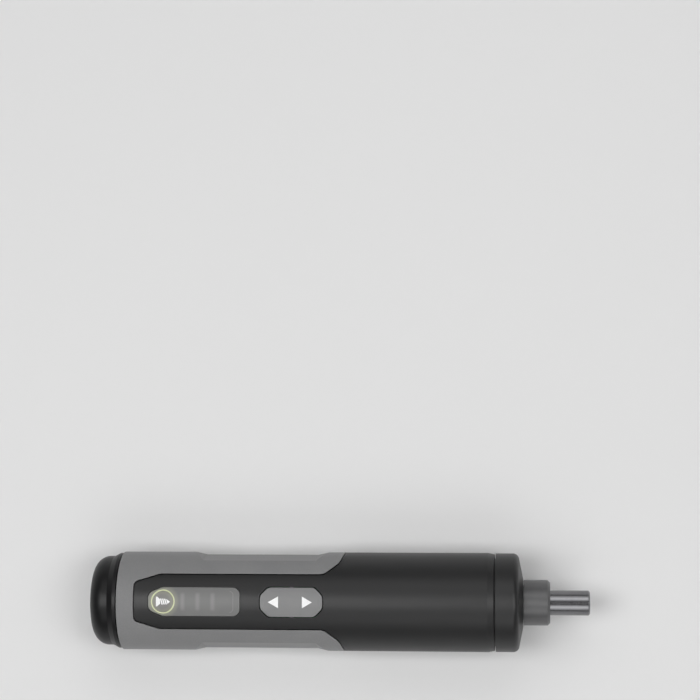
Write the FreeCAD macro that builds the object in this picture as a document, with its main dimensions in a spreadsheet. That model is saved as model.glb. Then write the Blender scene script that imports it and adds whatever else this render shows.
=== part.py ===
# Cordless electric screwdriver: a straight two-part barrel with a grey grip sleeve and a lit control panel,
# holding a lithium cell, a small motor, a two-stage planetary gearbox and a spindle with a hexagon bit socket.
# Lengths are in millimetres. X runs from the rear face to the nose, Z rises through the controls.
# Every piece is drawn with the rear face at X zero and the tool's axis at Y and Z zero, then placed on its rest.
import FreeCAD
import Part
import Sketcher
import math
import os

SIZES = {
    # whole tool and the clearances its fits share
    "overall_length": 182.5,
    "barrel_diameter": 36.0,
    "seam_width": 0.3,
    "seam_depth": 0.25,
    "fit_gap": 0.05,
    "seat_gap": 0.3,
    "bearing_gap": 0.03,
    "cut_overrun": 1.0,
    # clamshell housing
    "housing_gap": 0.2,
    "housing_wall": 1.8,
    "barrel_wall": 3.0,
    "barrel_chamfer_length": 2.3,
    "barrel_chamfer_depth": 0.4,
    "parting_gap": 0.5,
    "front_lip_length": 4.6,
    "front_lip_wall": 2.0,
    "front_lip_setback": 2.0,
    "bulkhead_gap": 0.2,
    "bulkhead_thickness": 1.6,
    "bulkhead_height": 3.5,
    "rib_thickness": 2.0,
    "rib_inset": 4.0,
    "motor_rib_height": 2.5,
    "case_rib_height": 0.8,
    "cradle_thickness": 1.6,
    "cradle_inset": 7.5,
    "stop_thickness": 1.4,
    "stop_overlap": 3.2,
    "roof_thickness": 1.8,
    "roof_setback": 2.3,
    "roof_width": 16.0,
    # screws that hold the halves together
    "boss_rear_room": 5.6,
    "boss_front_room": 9.4,
    "boss_inset": 1.9,
    "boss_diameter": 4.4,
    "boss_foot_diameter": 5.2,
    "boss_foot_wall": 1.5,
    "screw_diameter": 2.0,
    "screw_head_diameter": 3.6,
    "screw_head_height": 1.5,
    "screw_head_cover": 0.1,
    "screw_reach": 5.0,
    "screw_slot_width": 0.6,
    "screw_slot_depth": 0.5,
    # grip sleeve
    "grip_length": 82.3,
    "grip_ring_length": 6.2,
    "grip_thickness": 2.2,
    "grip_gap": 0.4,
    "panel_width": 20.2,
    "panel_rear_width": 14.3,
    "panel_taper_length": 9.4,
    "panel_corner_radius": 2.0,
    "panel_bend_radius": 4.0,
    "arm_tip_length": 6.9,
    "arm_tip_inset": 3.8,
    "arm_tip_setback": 1.5,
    "scallop_end_room": 4.9,
    "scallop_ramp": 5.2,
    "scallop_depth": 0.92,
    "scallop_rim": 3.1,
    "scallop_runout": 0.3,
    # rear cap and charging socket
    "cap_length": 10.4,
    "cap_inset": 1.6,
    "cap_rounding": 5.5,
    "cap_flare_setback": 3.3,
    "cap_flare_length": 2.1,
    "cap_flare_inset": 0.5,
    "cap_wall": 2.2,
    "cap_spigot_length": 4.6,
    "cap_spigot_wall": 1.8,
    "port_width": 9.5,
    "port_height": 3.8,
    "port_rounding": 1.8,
    "socket_shell_width": 8.94,
    "socket_shell_height": 3.26,
    "socket_shell_rounding": 1.5,
    "socket_shell_wall": 0.3,
    "socket_shell_length": 7.3,
    "socket_shell_setback": 0.6,
    "socket_block_length": 2.2,
    "tongue_width": 6.6,
    "tongue_thickness": 0.7,
    "tongue_setback": 0.8,
    "charge_board_length": 10.4,
    "charge_board_width": 16.0,
    "charge_board_thickness": 1.0,
    "shelf_thickness": 1.4,
    "lead_diameter": 1.2,
    "lead_screw_gap": 0.79,
    "charge_lead_inset": 1.1,
    "charge_lead_drop": 1.7,
    "charge_lead_reach": 2.0,
    "charge_lead_bend": 1.4,
    # front cap, nose collar
    "front_cap_inset": 0.1,
    "front_cap_length": 8.6,
    "front_cap_rounding": 2.2,
    "front_cap_slope": 1.8,
    "front_cap_ledge": 0.55,
    "front_cap_wall": 2.4,
    "front_cap_sleeve_wall": 2.65,
    "collar_gap": 0.2,
    "collar_length": 9.6,
    "collar_diameter": 16.5,
    "collar_chamfer": 0.9,
    "collar_lip": 1.0,
    "collar_eye_gap": 0.4,
    # display window, light ring, charge bars
    "window_rear_margin": 5.7,
    "window_width": 10.3,
    "window_rear_width": 6.0,
    "window_taper_length": 5.2,
    "window_corner_radius": 2.8,
    "window_rear_radius": 2.5,
    "window_gap": 0.15,
    "window_proud": 0.05,
    "window_flange": 1.0,
    "window_flange_thickness": 1.0,
    "button_inset": 5.4,
    "button_diameter": 7.6,
    "button_gap": 0.1,
    "button_proud": 0.15,
    "button_flange_diameter": 9.8,
    "button_flange_gap": 0.135,
    "button_flange_thickness": 0.8,
    "button_stem_diameter": 3.0,
    "button_stem_gap": 0.6,
    "ring_width": 0.45,
    "ring_depth": 3.4,
    "bar_width": 1.8,
    "bar_height": 6.9,
    "bar_depth": 3.8,
    "bar_pitch": 5.5,
    "bar_lead": 2.85,
    "bar_end_room": 5.0,
    # direction rocker
    "rocker_width": 10.5,
    "rocker_corner": 3.0,
    "rocker_corner_radius": 2.6,
    "rocker_lead_length": 1.7,
    "rocker_lead_drop": 0.3,
    "rocker_gap": 0.3,
    "rocker_proud": 0.4,
    "rocker_thickness": 2.5,
    "rocker_pivot_depth": 2.4,
    "rocker_spine_width": 3.0,
    "rocker_spine_drop": 1.3,
    "trunnion_diameter": 1.6,
    "trunnion_length": 1.1,
    "nub_inset": 3.5,
    "nub_diameter": 2.4,
    "nub_gap": 0.4,
    # control board
    "board_rear_gap": 1.6,
    "board_front_gap": 0.5,
    "board_edge_gap": 0.4,
    "board_boss_gap": 0.3,
    "board_thickness": 1.6,
    "board_depth": 7.8,
    "post_rear_inset": 1.6,
    "post_front_inset": 1.7,
    "post_side_inset": 2.4,
    "post_diameter": 3.0,
    "post_rear_cover": 0.15,
    "post_front_cover": 0.98,
    "board_screw_diameter": 1.4,
    "board_screw_head_diameter": 2.8,
    "board_screw_head_height": 1.1,
    "board_screw_reach": 2.6,
    "tact_width": 4.5,
    "tact_height": 1.8,
    "tact_plunger_diameter": 2.0,
    "rocker_plunger_height": 0.5,
    "button_plunger_height": 0.3,
    "lamp_length": 1.6,
    "lamp_width": 3.0,
    "lamp_height": 0.8,
    # lithium cell
    "cell_rear_room": 2.5,
    "cell_front_room": 6.9,
    "cell_bed": 1.2,
    "cell_head_room": 3.0,
    "cell_terminal_diameter": 6.0,
    "cell_terminal_height": 1.0,
    "cell_terminal_inset": 0.6,
    "tab_gap": 0.4,
    "tab_thickness": 0.3,
    # motor
    "motor_length": 28.0,
    "motor_rounding": 1.2,
    "bell_length": 4.5,
    "bell_inset": 0.4,
    "bell_hub_gap": 0.2,
    "bell_hub_length": 1.4,
    "motor_boss_diameter": 6.0,
    "motor_boss_length": 1.6,
    "shaft_diameter": 2.0,
    "pinion_wall": 0.75,
    "terminal_width": 2.4,
    "terminal_thickness": 0.5,
    "terminal_length": 3.4,
    "motor_lead_inset": 0.3,
    "plate_thickness": 2.0,
    "motor_screw_diameter": 2.4,
    "motor_screw_head_diameter": 4.4,
    "motor_screw_inset": 4.2,
    "motor_screw_reach": 3.0,
    # planetary gearbox
    "sun_teeth": 9,
    "planet_teeth": 18,
    "planet_count": 3,
    "tooth_thinning": 0.08,
    "planet_width": 5.2,
    "gear_side_gap": 0.6,
    "carrier_gap": 0.85,
    "first_carrier_thickness": 2.4,
    "output_carrier_thickness": 3.0,
    "pin_diameter": 2.0,
    "pin_overhang": 0.3,
    "pin_cover": 0.4,
    "washer_thickness": 0.6,
    "washer_width": 3.5,
    "washer_gap": 0.2,
    "case_setback": 4.7,
    "case_wall": 2.15,
    "case_recess_wall": 1.05,
    "case_front_wall": 3.0,
    "neck_diameter": 13.0,
    "lug_length": 6.0,
    "lug_width": 4.0,
    "lug_gap": 0.4,
    "lug_setback": 8.8,
    "key_width": 1.6,
    # spindle and its bearings
    "spindle_diameter": 9.1,
    "journal_diameter": 8.0,
    "spigot_diameter": 7.0,
    "nose_length": 14.4,
    "nose_setback": 1.2,
    "socket_flats": 6.45,
    "socket_depth": 14.5,
    "socket_lead_in": 0.5,
    "magnet_diameter": 6.0,
    "magnet_thickness": 2.0,
    "bush_wall": 1.4,
    "rear_bush_length": 9.0,
    "front_bush_length": 8.0,
    "front_bush_setback": 1.8,
    "clip_thickness": 0.7,
    "clip_groove_depth": 0.5,
    "clip_diameter": 10.0,
    "clip_gap_width": 4.0,
}

PRESSURE_ANGLE = math.radians(20.0)
ADDENDUM_SHARE = 1.0
PLANET_ADDENDUM_SHARE = 0.6
DEDENDUM_SHARE = 1.25
RING_TIP_SHARE = 1.0
SLACK_SHARE = 0.00001
# places along the panel ahead of the window's rear end, the grip and the lit part of the window, as shares of them
WINDOW_END_SHARE = 0.459147
ROCKER_SHARES = (0.6141, 0.9535)
SCALLOP_START_SHARE = 0.31
# how far a ridge or facet is carried past the surface that it runs out of, as a share of its own size
RUNOUT_SHARE = 0.1
LEAD_REACH_SHARE = 0.5
AXES = {
    "X": FreeCAD.Rotation(FreeCAD.Vector(0, 1, 0), 90),
    "Y": FreeCAD.Rotation(FreeCAD.Vector(1, 0, 0), -90),
    "Z": FreeCAD.Rotation(),
}


class Size:
    # A length that carries both its number and the sheet expression that gives it.
    def __init__(self, text, value):
        self.text = text
        self.value = value

    def __add__(self, other):
        return Size(f"({self.text} + {words(other)})", self.value + number(other))

    def __radd__(self, other):
        return self + other

    def __sub__(self, other):
        return Size(f"({self.text} - {words(other)})", self.value - number(other))

    def __rsub__(self, other):
        return Size(f"({words(other)} - {self.text})", number(other) - self.value)

    def __mul__(self, other):
        return Size(f"({self.text} * {words(other)})", self.value * number(other))

    def __rmul__(self, other):
        return self * other

    def __truediv__(self, other):
        return Size(f"({self.text} / {words(other)})", self.value / number(other))

    def __neg__(self):
        return Size(f"(0 - {self.text})", -self.value)


def words(size):
    return size.text if isinstance(size, Size) else repr(size)


def number(size):
    return size.value if isinstance(size, Size) else float(size)


def leg(long_side, short_side):
    # the other short side of a right triangle
    text = f"sqrt({words(long_side)} * {words(long_side)} - {words(short_side)} * {words(short_side)})"
    return Size(text, math.sqrt(number(long_side) ** 2 - number(short_side) ** 2))


class Sheet:
    # The spreadsheet of driving sizes, read by alias.
    def __init__(self, document, sizes):
        self.cells = document.addObject("Spreadsheet::Sheet", "dims")
        for row, (alias, value) in enumerate(sizes.items(), start=1):
            self.cells.set(f"A{row}", alias)
            self.cells.set(f"B{row}", str(value))
            self.cells.setAlias(f"B{row}", alias)
        document.recompute()

    def __getattr__(self, alias):
        return Size(f"dims.{alias}", float(self.cells.get(alias)))


doc = FreeCAD.newDocument("electric_screwdriver")
d = Sheet(doc, SIZES)
nodes = []


def bind(feature, prop, size):
    if isinstance(size, Size):
        feature.setExpression(prop, size.text)
    elif size:
        raise ValueError(f"{feature.Label} {prop} needs a named size")


def finish(label, feature, lift=0):
    # names a piece and sets it on the shared rest: centred along X, lowest line of the barrel at Z zero
    feature.Label = label
    bind(feature, "Placement.Base.x", -(d.overall_length / 2))
    bind(feature, "Placement.Base.z", d.barrel_diameter / 2 + lift)
    nodes.append(feature)
    return feature


def outline_sketch(body, role, points, start):
    sketch = body.newObject("Sketcher::SketchObject", "outline")
    plane = [item for item in body.Origin.OriginFeatures if item.Role == role][0]
    sketch.AttachmentSupport = [(plane, "")]
    sketch.MapMode = "FlatFace"
    bind(sketch, "AttachmentOffset.Base.z", start)
    corners = [FreeCAD.Vector(number(across), number(up), 0) for across, up in points]
    count = len(corners)
    for index, corner in enumerate(corners):
        sketch.addGeometry(Part.LineSegment(corner, corners[(index + 1) % count]), False)
    for index in range(count):
        sketch.addConstraint(Sketcher.Constraint("Coincident", index, 2, (index + 1) % count, 1))
    for index, point in enumerate(points):
        for kind, size in zip(("DistanceX", "DistanceY"), point):
            place = sketch.addConstraint(Sketcher.Constraint(kind, -1, 1, index, 1, number(size)))
            if isinstance(size, Size):
                sketch.setExpression(f"Constraints[{place}]", size.text)
    return sketch


def turned(label, profile, half=None):
    # a solid of revolution about the tool's axis, whole or only its upper or lower half
    body = doc.addObject("PartDesign::Body", label)
    sketch = outline_sketch(body, "XY_Plane", profile, 0)
    turn = body.newObject("PartDesign::Revolution", "turn")
    turn.Profile = sketch
    turn.ReferenceAxis = (sketch, ["H_Axis"])
    turn.Angle = 180 if half else 360
    turn.Reversed = half == "lower"
    doc.recompute()
    return body


def prism(label, role, outline, start, length):
    body = doc.addObject("PartDesign::Body", label)
    sketch = outline_sketch(body, role, outline, start)
    pad = body.newObject("PartDesign::Pad", "pad")
    pad.Profile = sketch
    bind(pad, "Length", length)
    doc.recompute()
    return body


def rounded(body, radius, test):
    base = body.Tip
    names = [f"Edge{place}" for place, edge in enumerate(base.Shape.Edges, start=1) if test(edge)]
    fillet = body.newObject("PartDesign::Fillet", "rounding")
    fillet.Base = (base, names)
    bind(fillet, "Radius", radius)
    doc.recompute()
    return body


def bevelled(body, size, test):
    base = body.Tip
    names = [f"Edge{place}" for place, edge in enumerate(base.Shape.Edges, start=1) if test(edge)]
    chamfer = body.newObject("PartDesign::Chamfer", "bevel")
    chamfer.Base = (base, names)
    bind(chamfer, "Size", size)
    doc.recompute()
    return body


def slack():
    return SLACK_SHARE * d.overall_length.value


def hoop(position, radius):
    # picks the circular edge of one radius at one place along the tool
    def test(edge):
        curve = edge.Curve
        if not hasattr(curve, "Radius"):
            return False
        same_radius = abs(curve.Radius - number(radius)) < slack()
        return same_radius and abs(curve.Center.x - number(position)) < slack()
    return test


def upright(position, reach):
    # picks the vertical edges at one place along the tool, both sides of the middle
    def test(edge):
        box = edge.BoundBox
        straight = box.XLength < slack() and box.YLength < slack()
        at_place = abs(box.XMin - number(position)) < slack()
        return straight and at_place and abs(abs(box.YMin) - number(reach)) < slack()
    return test


def lengthwise(edge):
    box = edge.BoundBox
    return box.YLength < slack() and box.ZLength < slack()


def box(label, low, high):
    block = doc.addObject("Part::Box", label)
    for prop, axis, first, last in zip(("Length", "Width", "Height"), "xyz", low, high):
        bind(block, prop, last - first)
        bind(block, f"Placement.Base.{axis}", first)
    return block


def rod(label, axis, diameter, start, length, across=(0, 0)):
    # a round bar along one axis; across gives its place on the other two axes in their own order
    bar = doc.addObject("Part::Cylinder", label)
    bind(bar, "Radius", diameter / 2)
    bind(bar, "Height", length)
    bar.Placement = FreeCAD.Placement(FreeCAD.Vector(), AXES[axis])
    others = [name for name in "XYZ" if name != axis]
    bind(bar, f"Placement.Base.{axis.lower()}", start)
    for name, offset in zip(others, across):
        bind(bar, f"Placement.Base.{name.lower()}", offset)
    return bar


def cone(label, first_diameter, last_diameter, start, length, across=(0, 0)):
    # a tapered bar along the tool's axis
    taper = doc.addObject("Part::Cone", label)
    bind(taper, "Radius1", first_diameter / 2)
    bind(taper, "Radius2", last_diameter / 2)
    bind(taper, "Height", length)
    taper.Placement = FreeCAD.Placement(FreeCAD.Vector(), AXES["X"])
    for name, offset in zip("xyz", (start,) + tuple(across)):
        bind(taper, f"Placement.Base.{name}", offset)
    return taper


def cut(label, base, *tools):
    for tool in tools:
        result = doc.addObject("Part::Cut", label)
        result.Base = base
        result.Tool = tool
        result.Refine = True
        base = result
    return base


def fuse(label, *pieces):
    result = doc.addObject("Part::MultiFuse", label)
    result.Shapes = list(pieces)
    result.Refine = True
    return result


def common(label, *pieces):
    result = doc.addObject("Part::MultiCommon", label)
    result.Shapes = list(pieces)
    result.Refine = True
    return result


def group(label, *pieces):
    result = doc.addObject("Part::Compound", label)
    result.Links = list(pieces)
    return result


def tube(label, outer_diameter, inner_diameter, start, length):
    outer = rod(label + "_outer", "X", outer_diameter, start, length)
    inner = rod(label + "_inner", "X", inner_diameter, start - d.cut_overrun, length + 2 * d.cut_overrun)
    return cut(label, outer, inner)


def rectangle(width, height):
    return [(-(width / 2), -(height / 2)), (width / 2, -(height / 2)),
            (width / 2, height / 2), (-(width / 2), height / 2)]


# stations along the tool, counted back from the nose
collar_end = d.overall_length - d.nose_length
collar_start = collar_end - d.collar_length
nose_start = collar_end - d.nose_setback
neck_end = collar_end - d.collar_lip - d.fit_gap
front_cap_end = collar_start - d.collar_gap
front_cap_corner = front_cap_end - d.front_cap_slope
barrel_end = front_cap_corner - d.front_cap_length
lip_end = barrel_end + d.front_lip_length
case_end = barrel_end - d.case_setback
case_wall_start = case_end - d.case_front_wall
output_carrier_end = case_wall_start - d.washer_thickness - d.washer_gap
output_carrier_start = output_carrier_end - d.output_carrier_thickness
second_planets_end = output_carrier_start - d.gear_side_gap
second_planets_start = second_planets_end - d.planet_width
first_carrier_end = second_planets_start - d.gear_side_gap
first_carrier_start = first_carrier_end - d.first_carrier_thickness
first_planets_end = first_carrier_start - d.gear_side_gap
first_planets_start = first_planets_end - d.planet_width
plate_front = first_planets_start - d.gear_side_gap
motor_front = plate_front - d.plate_thickness
motor_start = motor_front - d.motor_length
motor_lead_place = motor_start - d.terminal_length + d.motor_lead_inset
lug_start = motor_front + d.lug_setback
bay_end = motor_start - d.bulkhead_gap - d.bulkhead_thickness

# stations counted from the rear face, and places between the two
housing_start = d.cap_length + d.housing_gap
grip_start = housing_start + d.seat_gap
grip_end = grip_start + d.grip_length
scallop_start = grip_start + d.grip_length * SCALLOP_START_SHARE
scallop_end = grip_end - d.scallop_end_room
spigot_end = d.cap_length + d.cap_spigot_length
board_start = spigot_end + d.board_rear_gap
board_end = bay_end - d.board_front_gap
roof_start = board_start + d.roof_setback
cell_start = spigot_end + d.cell_rear_room
cell_end = bay_end - d.cell_front_room
boss_rear = spigot_end + d.boss_rear_room
boss_front = bay_end - d.boss_front_room
post_rear = board_start + d.post_rear_inset
post_front = board_end - d.post_front_inset
window_start = grip_start + d.grip_ring_length + d.window_rear_margin
panel_run = bay_end - window_start
button_position = window_start + d.button_inset
window_end = button_position + (bay_end - button_position) * WINDOW_END_SHARE
window_length = window_end - window_start
rocker_start = window_start + panel_run * ROCKER_SHARES[0]
rocker_end = window_start + panel_run * ROCKER_SHARES[1]
rocker_length = rocker_end - rocker_start
pivot_place = (rocker_start + rocker_end) / 2
nub_offset = rocker_length / 2 - d.nub_inset
ring_outer = d.button_diameter + (d.button_gap + d.ring_width) * 2
lit_start = button_position + ring_outer / 2
bar_room = window_end - lit_start - d.bar_lead - d.bar_end_room
bar_count = max(int(bar_room.value / d.bar_pitch.value), 0) + 1
bar_places = [lit_start + d.bar_lead + d.bar_pitch * place for place in range(bar_count)]

# radii and heights, worked inward from the barrel's skin
barrel_radius = d.barrel_diameter / 2
seat_radius = barrel_radius - d.grip_thickness
bay_radius = seat_radius - d.housing_wall
barrel_bore = barrel_radius - d.barrel_wall
roof_radius = barrel_radius - d.roof_thickness
lip_radius = barrel_bore + d.front_lip_wall / 2
lip_bore = lip_radius - d.front_lip_wall
scallop_edge = barrel_radius - d.scallop_rim
board_top = barrel_radius - d.board_depth
board_bottom = board_top - d.board_thickness
board_half = leg(bay_radius, board_top) - d.board_edge_gap
post_half = board_half - d.post_side_inset
post_edge = post_half + d.post_diameter / 2
post_rear_top = leg(seat_radius, post_edge) - d.post_rear_cover
post_front_top = leg(barrel_radius, post_edge) - d.post_front_cover
cell_low = bay_radius - d.cell_bed
cell_radius = (cell_low + board_bottom - d.cell_head_room) / 2
cell_drop = cell_low - cell_radius
boss_half = bay_radius - d.boss_inset
screw_head_seat = leg(seat_radius, boss_half + d.screw_head_diameter / 2) - d.screw_head_height - d.screw_head_cover
boss_foot_top = screw_head_seat - d.boss_foot_wall
rim_top = roof_radius - d.fit_gap
rim_foot = rim_top - d.window_flange_thickness
button_flange_top = leg(rim_foot, d.button_flange_diameter / 2) - d.button_flange_gap
button_stem_foot = board_top + d.tact_height + d.button_plunger_height + d.button_stem_gap
ring_foot = barrel_radius - d.ring_depth
bar_foot = barrel_radius - d.bar_depth
pivot_height = barrel_radius - d.rocker_pivot_depth
nub_foot = board_top + d.tact_height + d.rocker_plunger_height + d.nub_gap
charge_lead_height = board_bottom - d.charge_lead_drop
lead_half = post_half - d.board_screw_head_diameter / 2 - d.lead_screw_gap - d.lead_diameter / 2
tab_half = lead_half - d.lead_diameter / 2 - d.tab_gap
bell_hub_radius = lead_half - d.terminal_width / 2 - d.bell_hub_gap
port_floor = -(d.socket_shell_height / 2)
rib_bore = barrel_bore - d.motor_rib_height
motor_radius = rib_bore - d.seat_gap
motor_screw_half = motor_radius - d.motor_screw_inset
case_rib_bore = barrel_bore - d.case_rib_height
case_radius = case_rib_bore - d.seat_gap
recess_radius = case_radius - d.case_recess_wall
plate_radius = recess_radius - d.fit_gap

# planetary gears: the ring's tooth roots leave the case its wall, which sets the size of every tooth
ring_teeth = d.sun_teeth + d.planet_teeth * 2
tooth_module = (case_radius - d.case_wall) / (ring_teeth / 2 + ADDENDUM_SHARE)
sun_pitch_radius = tooth_module * d.sun_teeth / 2
planet_pitch_radius = tooth_module * d.planet_teeth / 2
planet_orbit = sun_pitch_radius + planet_pitch_radius
ring_pitch_radius = planet_orbit + planet_pitch_radius
ring_tip_radius = ring_pitch_radius - tooth_module * RING_TIP_SHARE
sun_tip_radius = sun_pitch_radius + tooth_module * ADDENDUM_SHARE
sun_root_radius = sun_pitch_radius - tooth_module * DEDENDUM_SHARE
pinion_start = plate_front + d.gear_side_gap / 2
pinion_seat_radius = sun_root_radius - d.pinion_wall
carrier_radius = ring_tip_radius - d.carrier_gap


def rib_line(ribs, bore):
    # inner line of the housing from front to rear past ribs given as (start, thickness, inner radius)
    line = []
    for start, thickness, inner in ribs:
        line.append((start + thickness, bore))
        line.append((start + thickness, inner))
        line.append((start, inner))
        line.append((start, bore))
    return line


def housing_half(half):
    barrel_ribs = [
        (case_end - d.rib_inset - d.rib_thickness, d.rib_thickness, case_rib_bore),
        (motor_front + d.rib_inset, d.rib_thickness, case_rib_bore),
        (motor_front - d.rib_inset - d.rib_thickness, d.rib_thickness, rib_bore),
        (motor_start + d.bell_length + d.rib_inset, d.rib_thickness, rib_bore),
    ]
    stop = cell_radius - d.stop_overlap
    bay_ribs = [
        (cell_end + d.tab_thickness + d.seat_gap, d.stop_thickness, stop),
        (cell_end - d.cradle_inset - d.cradle_thickness, d.cradle_thickness, stop),
        ((cell_start + cell_end) / 2 - d.cradle_thickness / 2, d.cradle_thickness, stop),
        (cell_start + d.cradle_inset, d.cradle_thickness, stop),
        (cell_start - d.tab_thickness - d.fit_gap - d.stop_thickness, d.stop_thickness, stop),
    ]
    bulkhead_front = bay_end + d.bulkhead_thickness
    profile = [
        (housing_start, bay_radius),
        (housing_start, barrel_radius),
        (barrel_end - d.barrel_chamfer_length, barrel_radius),
        (barrel_end, barrel_radius - d.barrel_chamfer_depth),
        (barrel_end, lip_radius),
        (lip_end, lip_radius),
        (lip_end, lip_bore),
        (barrel_end - d.front_lip_setback, lip_bore),
        (barrel_end - d.front_lip_setback, barrel_bore),
    ]
    profile += rib_line(barrel_ribs, barrel_bore)
    profile += [
        (bulkhead_front, barrel_bore),
        (bulkhead_front, bay_radius - d.bulkhead_height),
        (bay_end, bay_radius - d.bulkhead_height),
        (bay_end, bay_radius),
    ]
    if half == "lower":
        profile += rib_line(bay_ribs, bay_radius)
    return turned(half + "_shell", profile, half)


def panel_outline(gap):
    # plan of the panel that the sleeve leaves open between its arms, seen from above
    wide = barrel_radius + d.cut_overrun
    ring_end = grip_start + d.grip_ring_length + gap
    taper_end = grip_start + d.grip_ring_length + d.panel_taper_length + gap
    tip = grip_end + gap
    arm_corner = grip_end - d.arm_tip_length
    side = [
        (ring_end, d.panel_rear_width / 2 - gap),
        (taper_end, d.panel_width / 2 - gap),
        (arm_corner + gap, d.panel_width / 2 - gap),
        (tip - d.arm_tip_setback, barrel_radius - d.arm_tip_inset - gap),
        (tip, barrel_radius + d.fit_gap),
        (tip, wide),
        (tip + d.cut_overrun, wide),
    ]
    return side + [(along, -across) for along, across in reversed(side)]


def panel_plan(label, gap):
    # the panel's prism over the upper half of the barrel
    side = panel_outline(gap)
    body = prism(label, "XY_Plane", side, 0, barrel_radius + d.cut_overrun)
    rounded(body, d.panel_corner_radius, upright(*side[0]))
    for bend in side[1:4]:
        rounded(body, d.panel_bend_radius, upright(*bend))
    return body


def scallop(label, side):
    # finger hollow along one flank of the grip, faceted, running out at both ends
    far = barrel_radius + d.cut_overrun
    shallow = barrel_radius + d.scallop_runout
    foot = barrel_radius - d.scallop_depth
    edge = scallop_edge - (foot - scallop_edge) * RUNOUT_SHARE
    height = leg(barrel_radius, scallop_edge) * (1 + RUNOUT_SHARE)
    deep = [(edge, height), (foot, 0), (edge, -height)]
    open_end = [(shallow, height), (shallow, 0), (shallow, -height)]
    stations = [
        (scallop_start, open_end),
        (scallop_start + d.scallop_ramp, deep),
        (scallop_end - d.scallop_ramp, deep),
        (scallop_end, open_end),
    ]
    body = doc.addObject("PartDesign::Body", label)
    sections = []
    for start, inner in stations:
        points = [(far, height)] + inner + [(far, -height)]
        points = [(across * side, up) for across, up in points]
        sections.append(outline_sketch(body, "YZ_Plane", points, start))
    doc.recompute()
    loft = body.newObject("PartDesign::AdditiveLoft", "hollow")
    loft.Profile = sections[0]
    loft.Sections = sections[1:]
    loft.Ruled = True
    doc.recompute()
    return body


def grip_sleeve():
    sleeve = tube("grip_tube", d.barrel_diameter, (seat_radius + d.fit_gap) * 2, grip_start, d.grip_length)
    finish("grip_sleeve", cut("grip_hollows", sleeve, panel_plan("grip_panel", d.grip_gap * 0),
                              scallop("left_hollow", 1), scallop("right_hollow", -1)))


def grip_recess(half):
    # room for the sleeve in one half of the housing, with the shadow gap round its edge
    start = housing_start - d.cut_overrun
    length = grip_end + d.grip_gap - start
    ring = tube(half + "_recess_ring", (barrel_radius + d.cut_overrun) * 2, seat_radius * 2, start, length)
    return cut(half + "_recess", ring, panel_plan(half + "_panel", d.grip_gap)) if half == "upper" else ring


def screw_places():
    half = boss_half
    return [(along, across) for along in (boss_rear, boss_front) for across in (half, -half)]


def post_places():
    half = post_half
    pairs = ((post_rear, post_rear_top), (post_front, post_front_top))
    return [(along, across, top) for along, top in pairs for across in (half, -half)]


def window_outline(grow):
    end = window_end + grow
    side = [
        (window_start - grow, d.window_rear_width / 2 + grow),
        (window_start + d.window_taper_length - grow, d.window_width / 2 + grow),
        (end, d.window_width / 2 + grow),
    ]
    return side + [(along, -across) for along, across in reversed(side)]


def window_plan(label, grow):
    outline = window_outline(grow)
    body = prism(label, "XY_Plane", outline, roof_radius - roof_radius / 2, roof_radius)
    rounded(body, d.window_corner_radius, upright(*outline[2]))
    rounded(body, d.window_rear_radius, upright(*outline[0]))
    return rounded(body, d.window_rear_radius, upright(*outline[1]))


def rocker_outline(grow):
    start = rocker_start - grow
    end = rocker_end + grow
    side = [
        (start, d.rocker_width / 2 - d.rocker_corner + grow / 2),
        (start + d.rocker_corner - grow / 2, d.rocker_width / 2 + grow),
        (end - d.rocker_corner + grow / 2, d.rocker_width / 2 + grow),
        (end, d.rocker_width / 2 - d.rocker_corner + grow / 2),
    ]
    return side + [(along, -across) for along, across in reversed(side)]


def rocker_plan(label, grow):
    outline = rocker_outline(grow)
    body = prism(label, "XY_Plane", outline, roof_radius - roof_radius / 2, roof_radius)
    for corner in outline[:4]:
        rounded(body, d.rocker_corner_radius, upright(*corner))
    return body


def key_ribs(half):
    # ribs beside the gear case lugs that take the gearbox's turning force
    sign = 1 if half == "upper" else -1
    near = (d.lug_width / 2 + d.seat_gap) * sign
    far = (d.lug_width / 2 + d.seat_gap + d.key_width) * sign
    low, high = (near, far) if sign > 0 else (far, near)
    inner = case_rib_bore
    outer = barrel_bore + d.barrel_wall / 2
    ribs = []
    for first, last in ((inner, outer), (-outer, -inner)):
        block = box(half + "_key", (lug_start, first, low), (lug_start + d.lug_length, last, high))
        ribs.append(block)
    return ribs


def seam_cuts(half):
    # the shadow line where the two halves meet, along each flank of the barrel
    low, high = (0, d.seam_width / 2) if half == "upper" else (-(d.seam_width / 2), 0)
    near = barrel_radius - d.seam_depth
    far = barrel_radius + d.cut_overrun
    end = barrel_end + d.cut_overrun
    return [box(half + "_seam", (grip_end, first, low), (end, last, high))
            for first, last in ((near, far), (-far, -near))]


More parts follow.
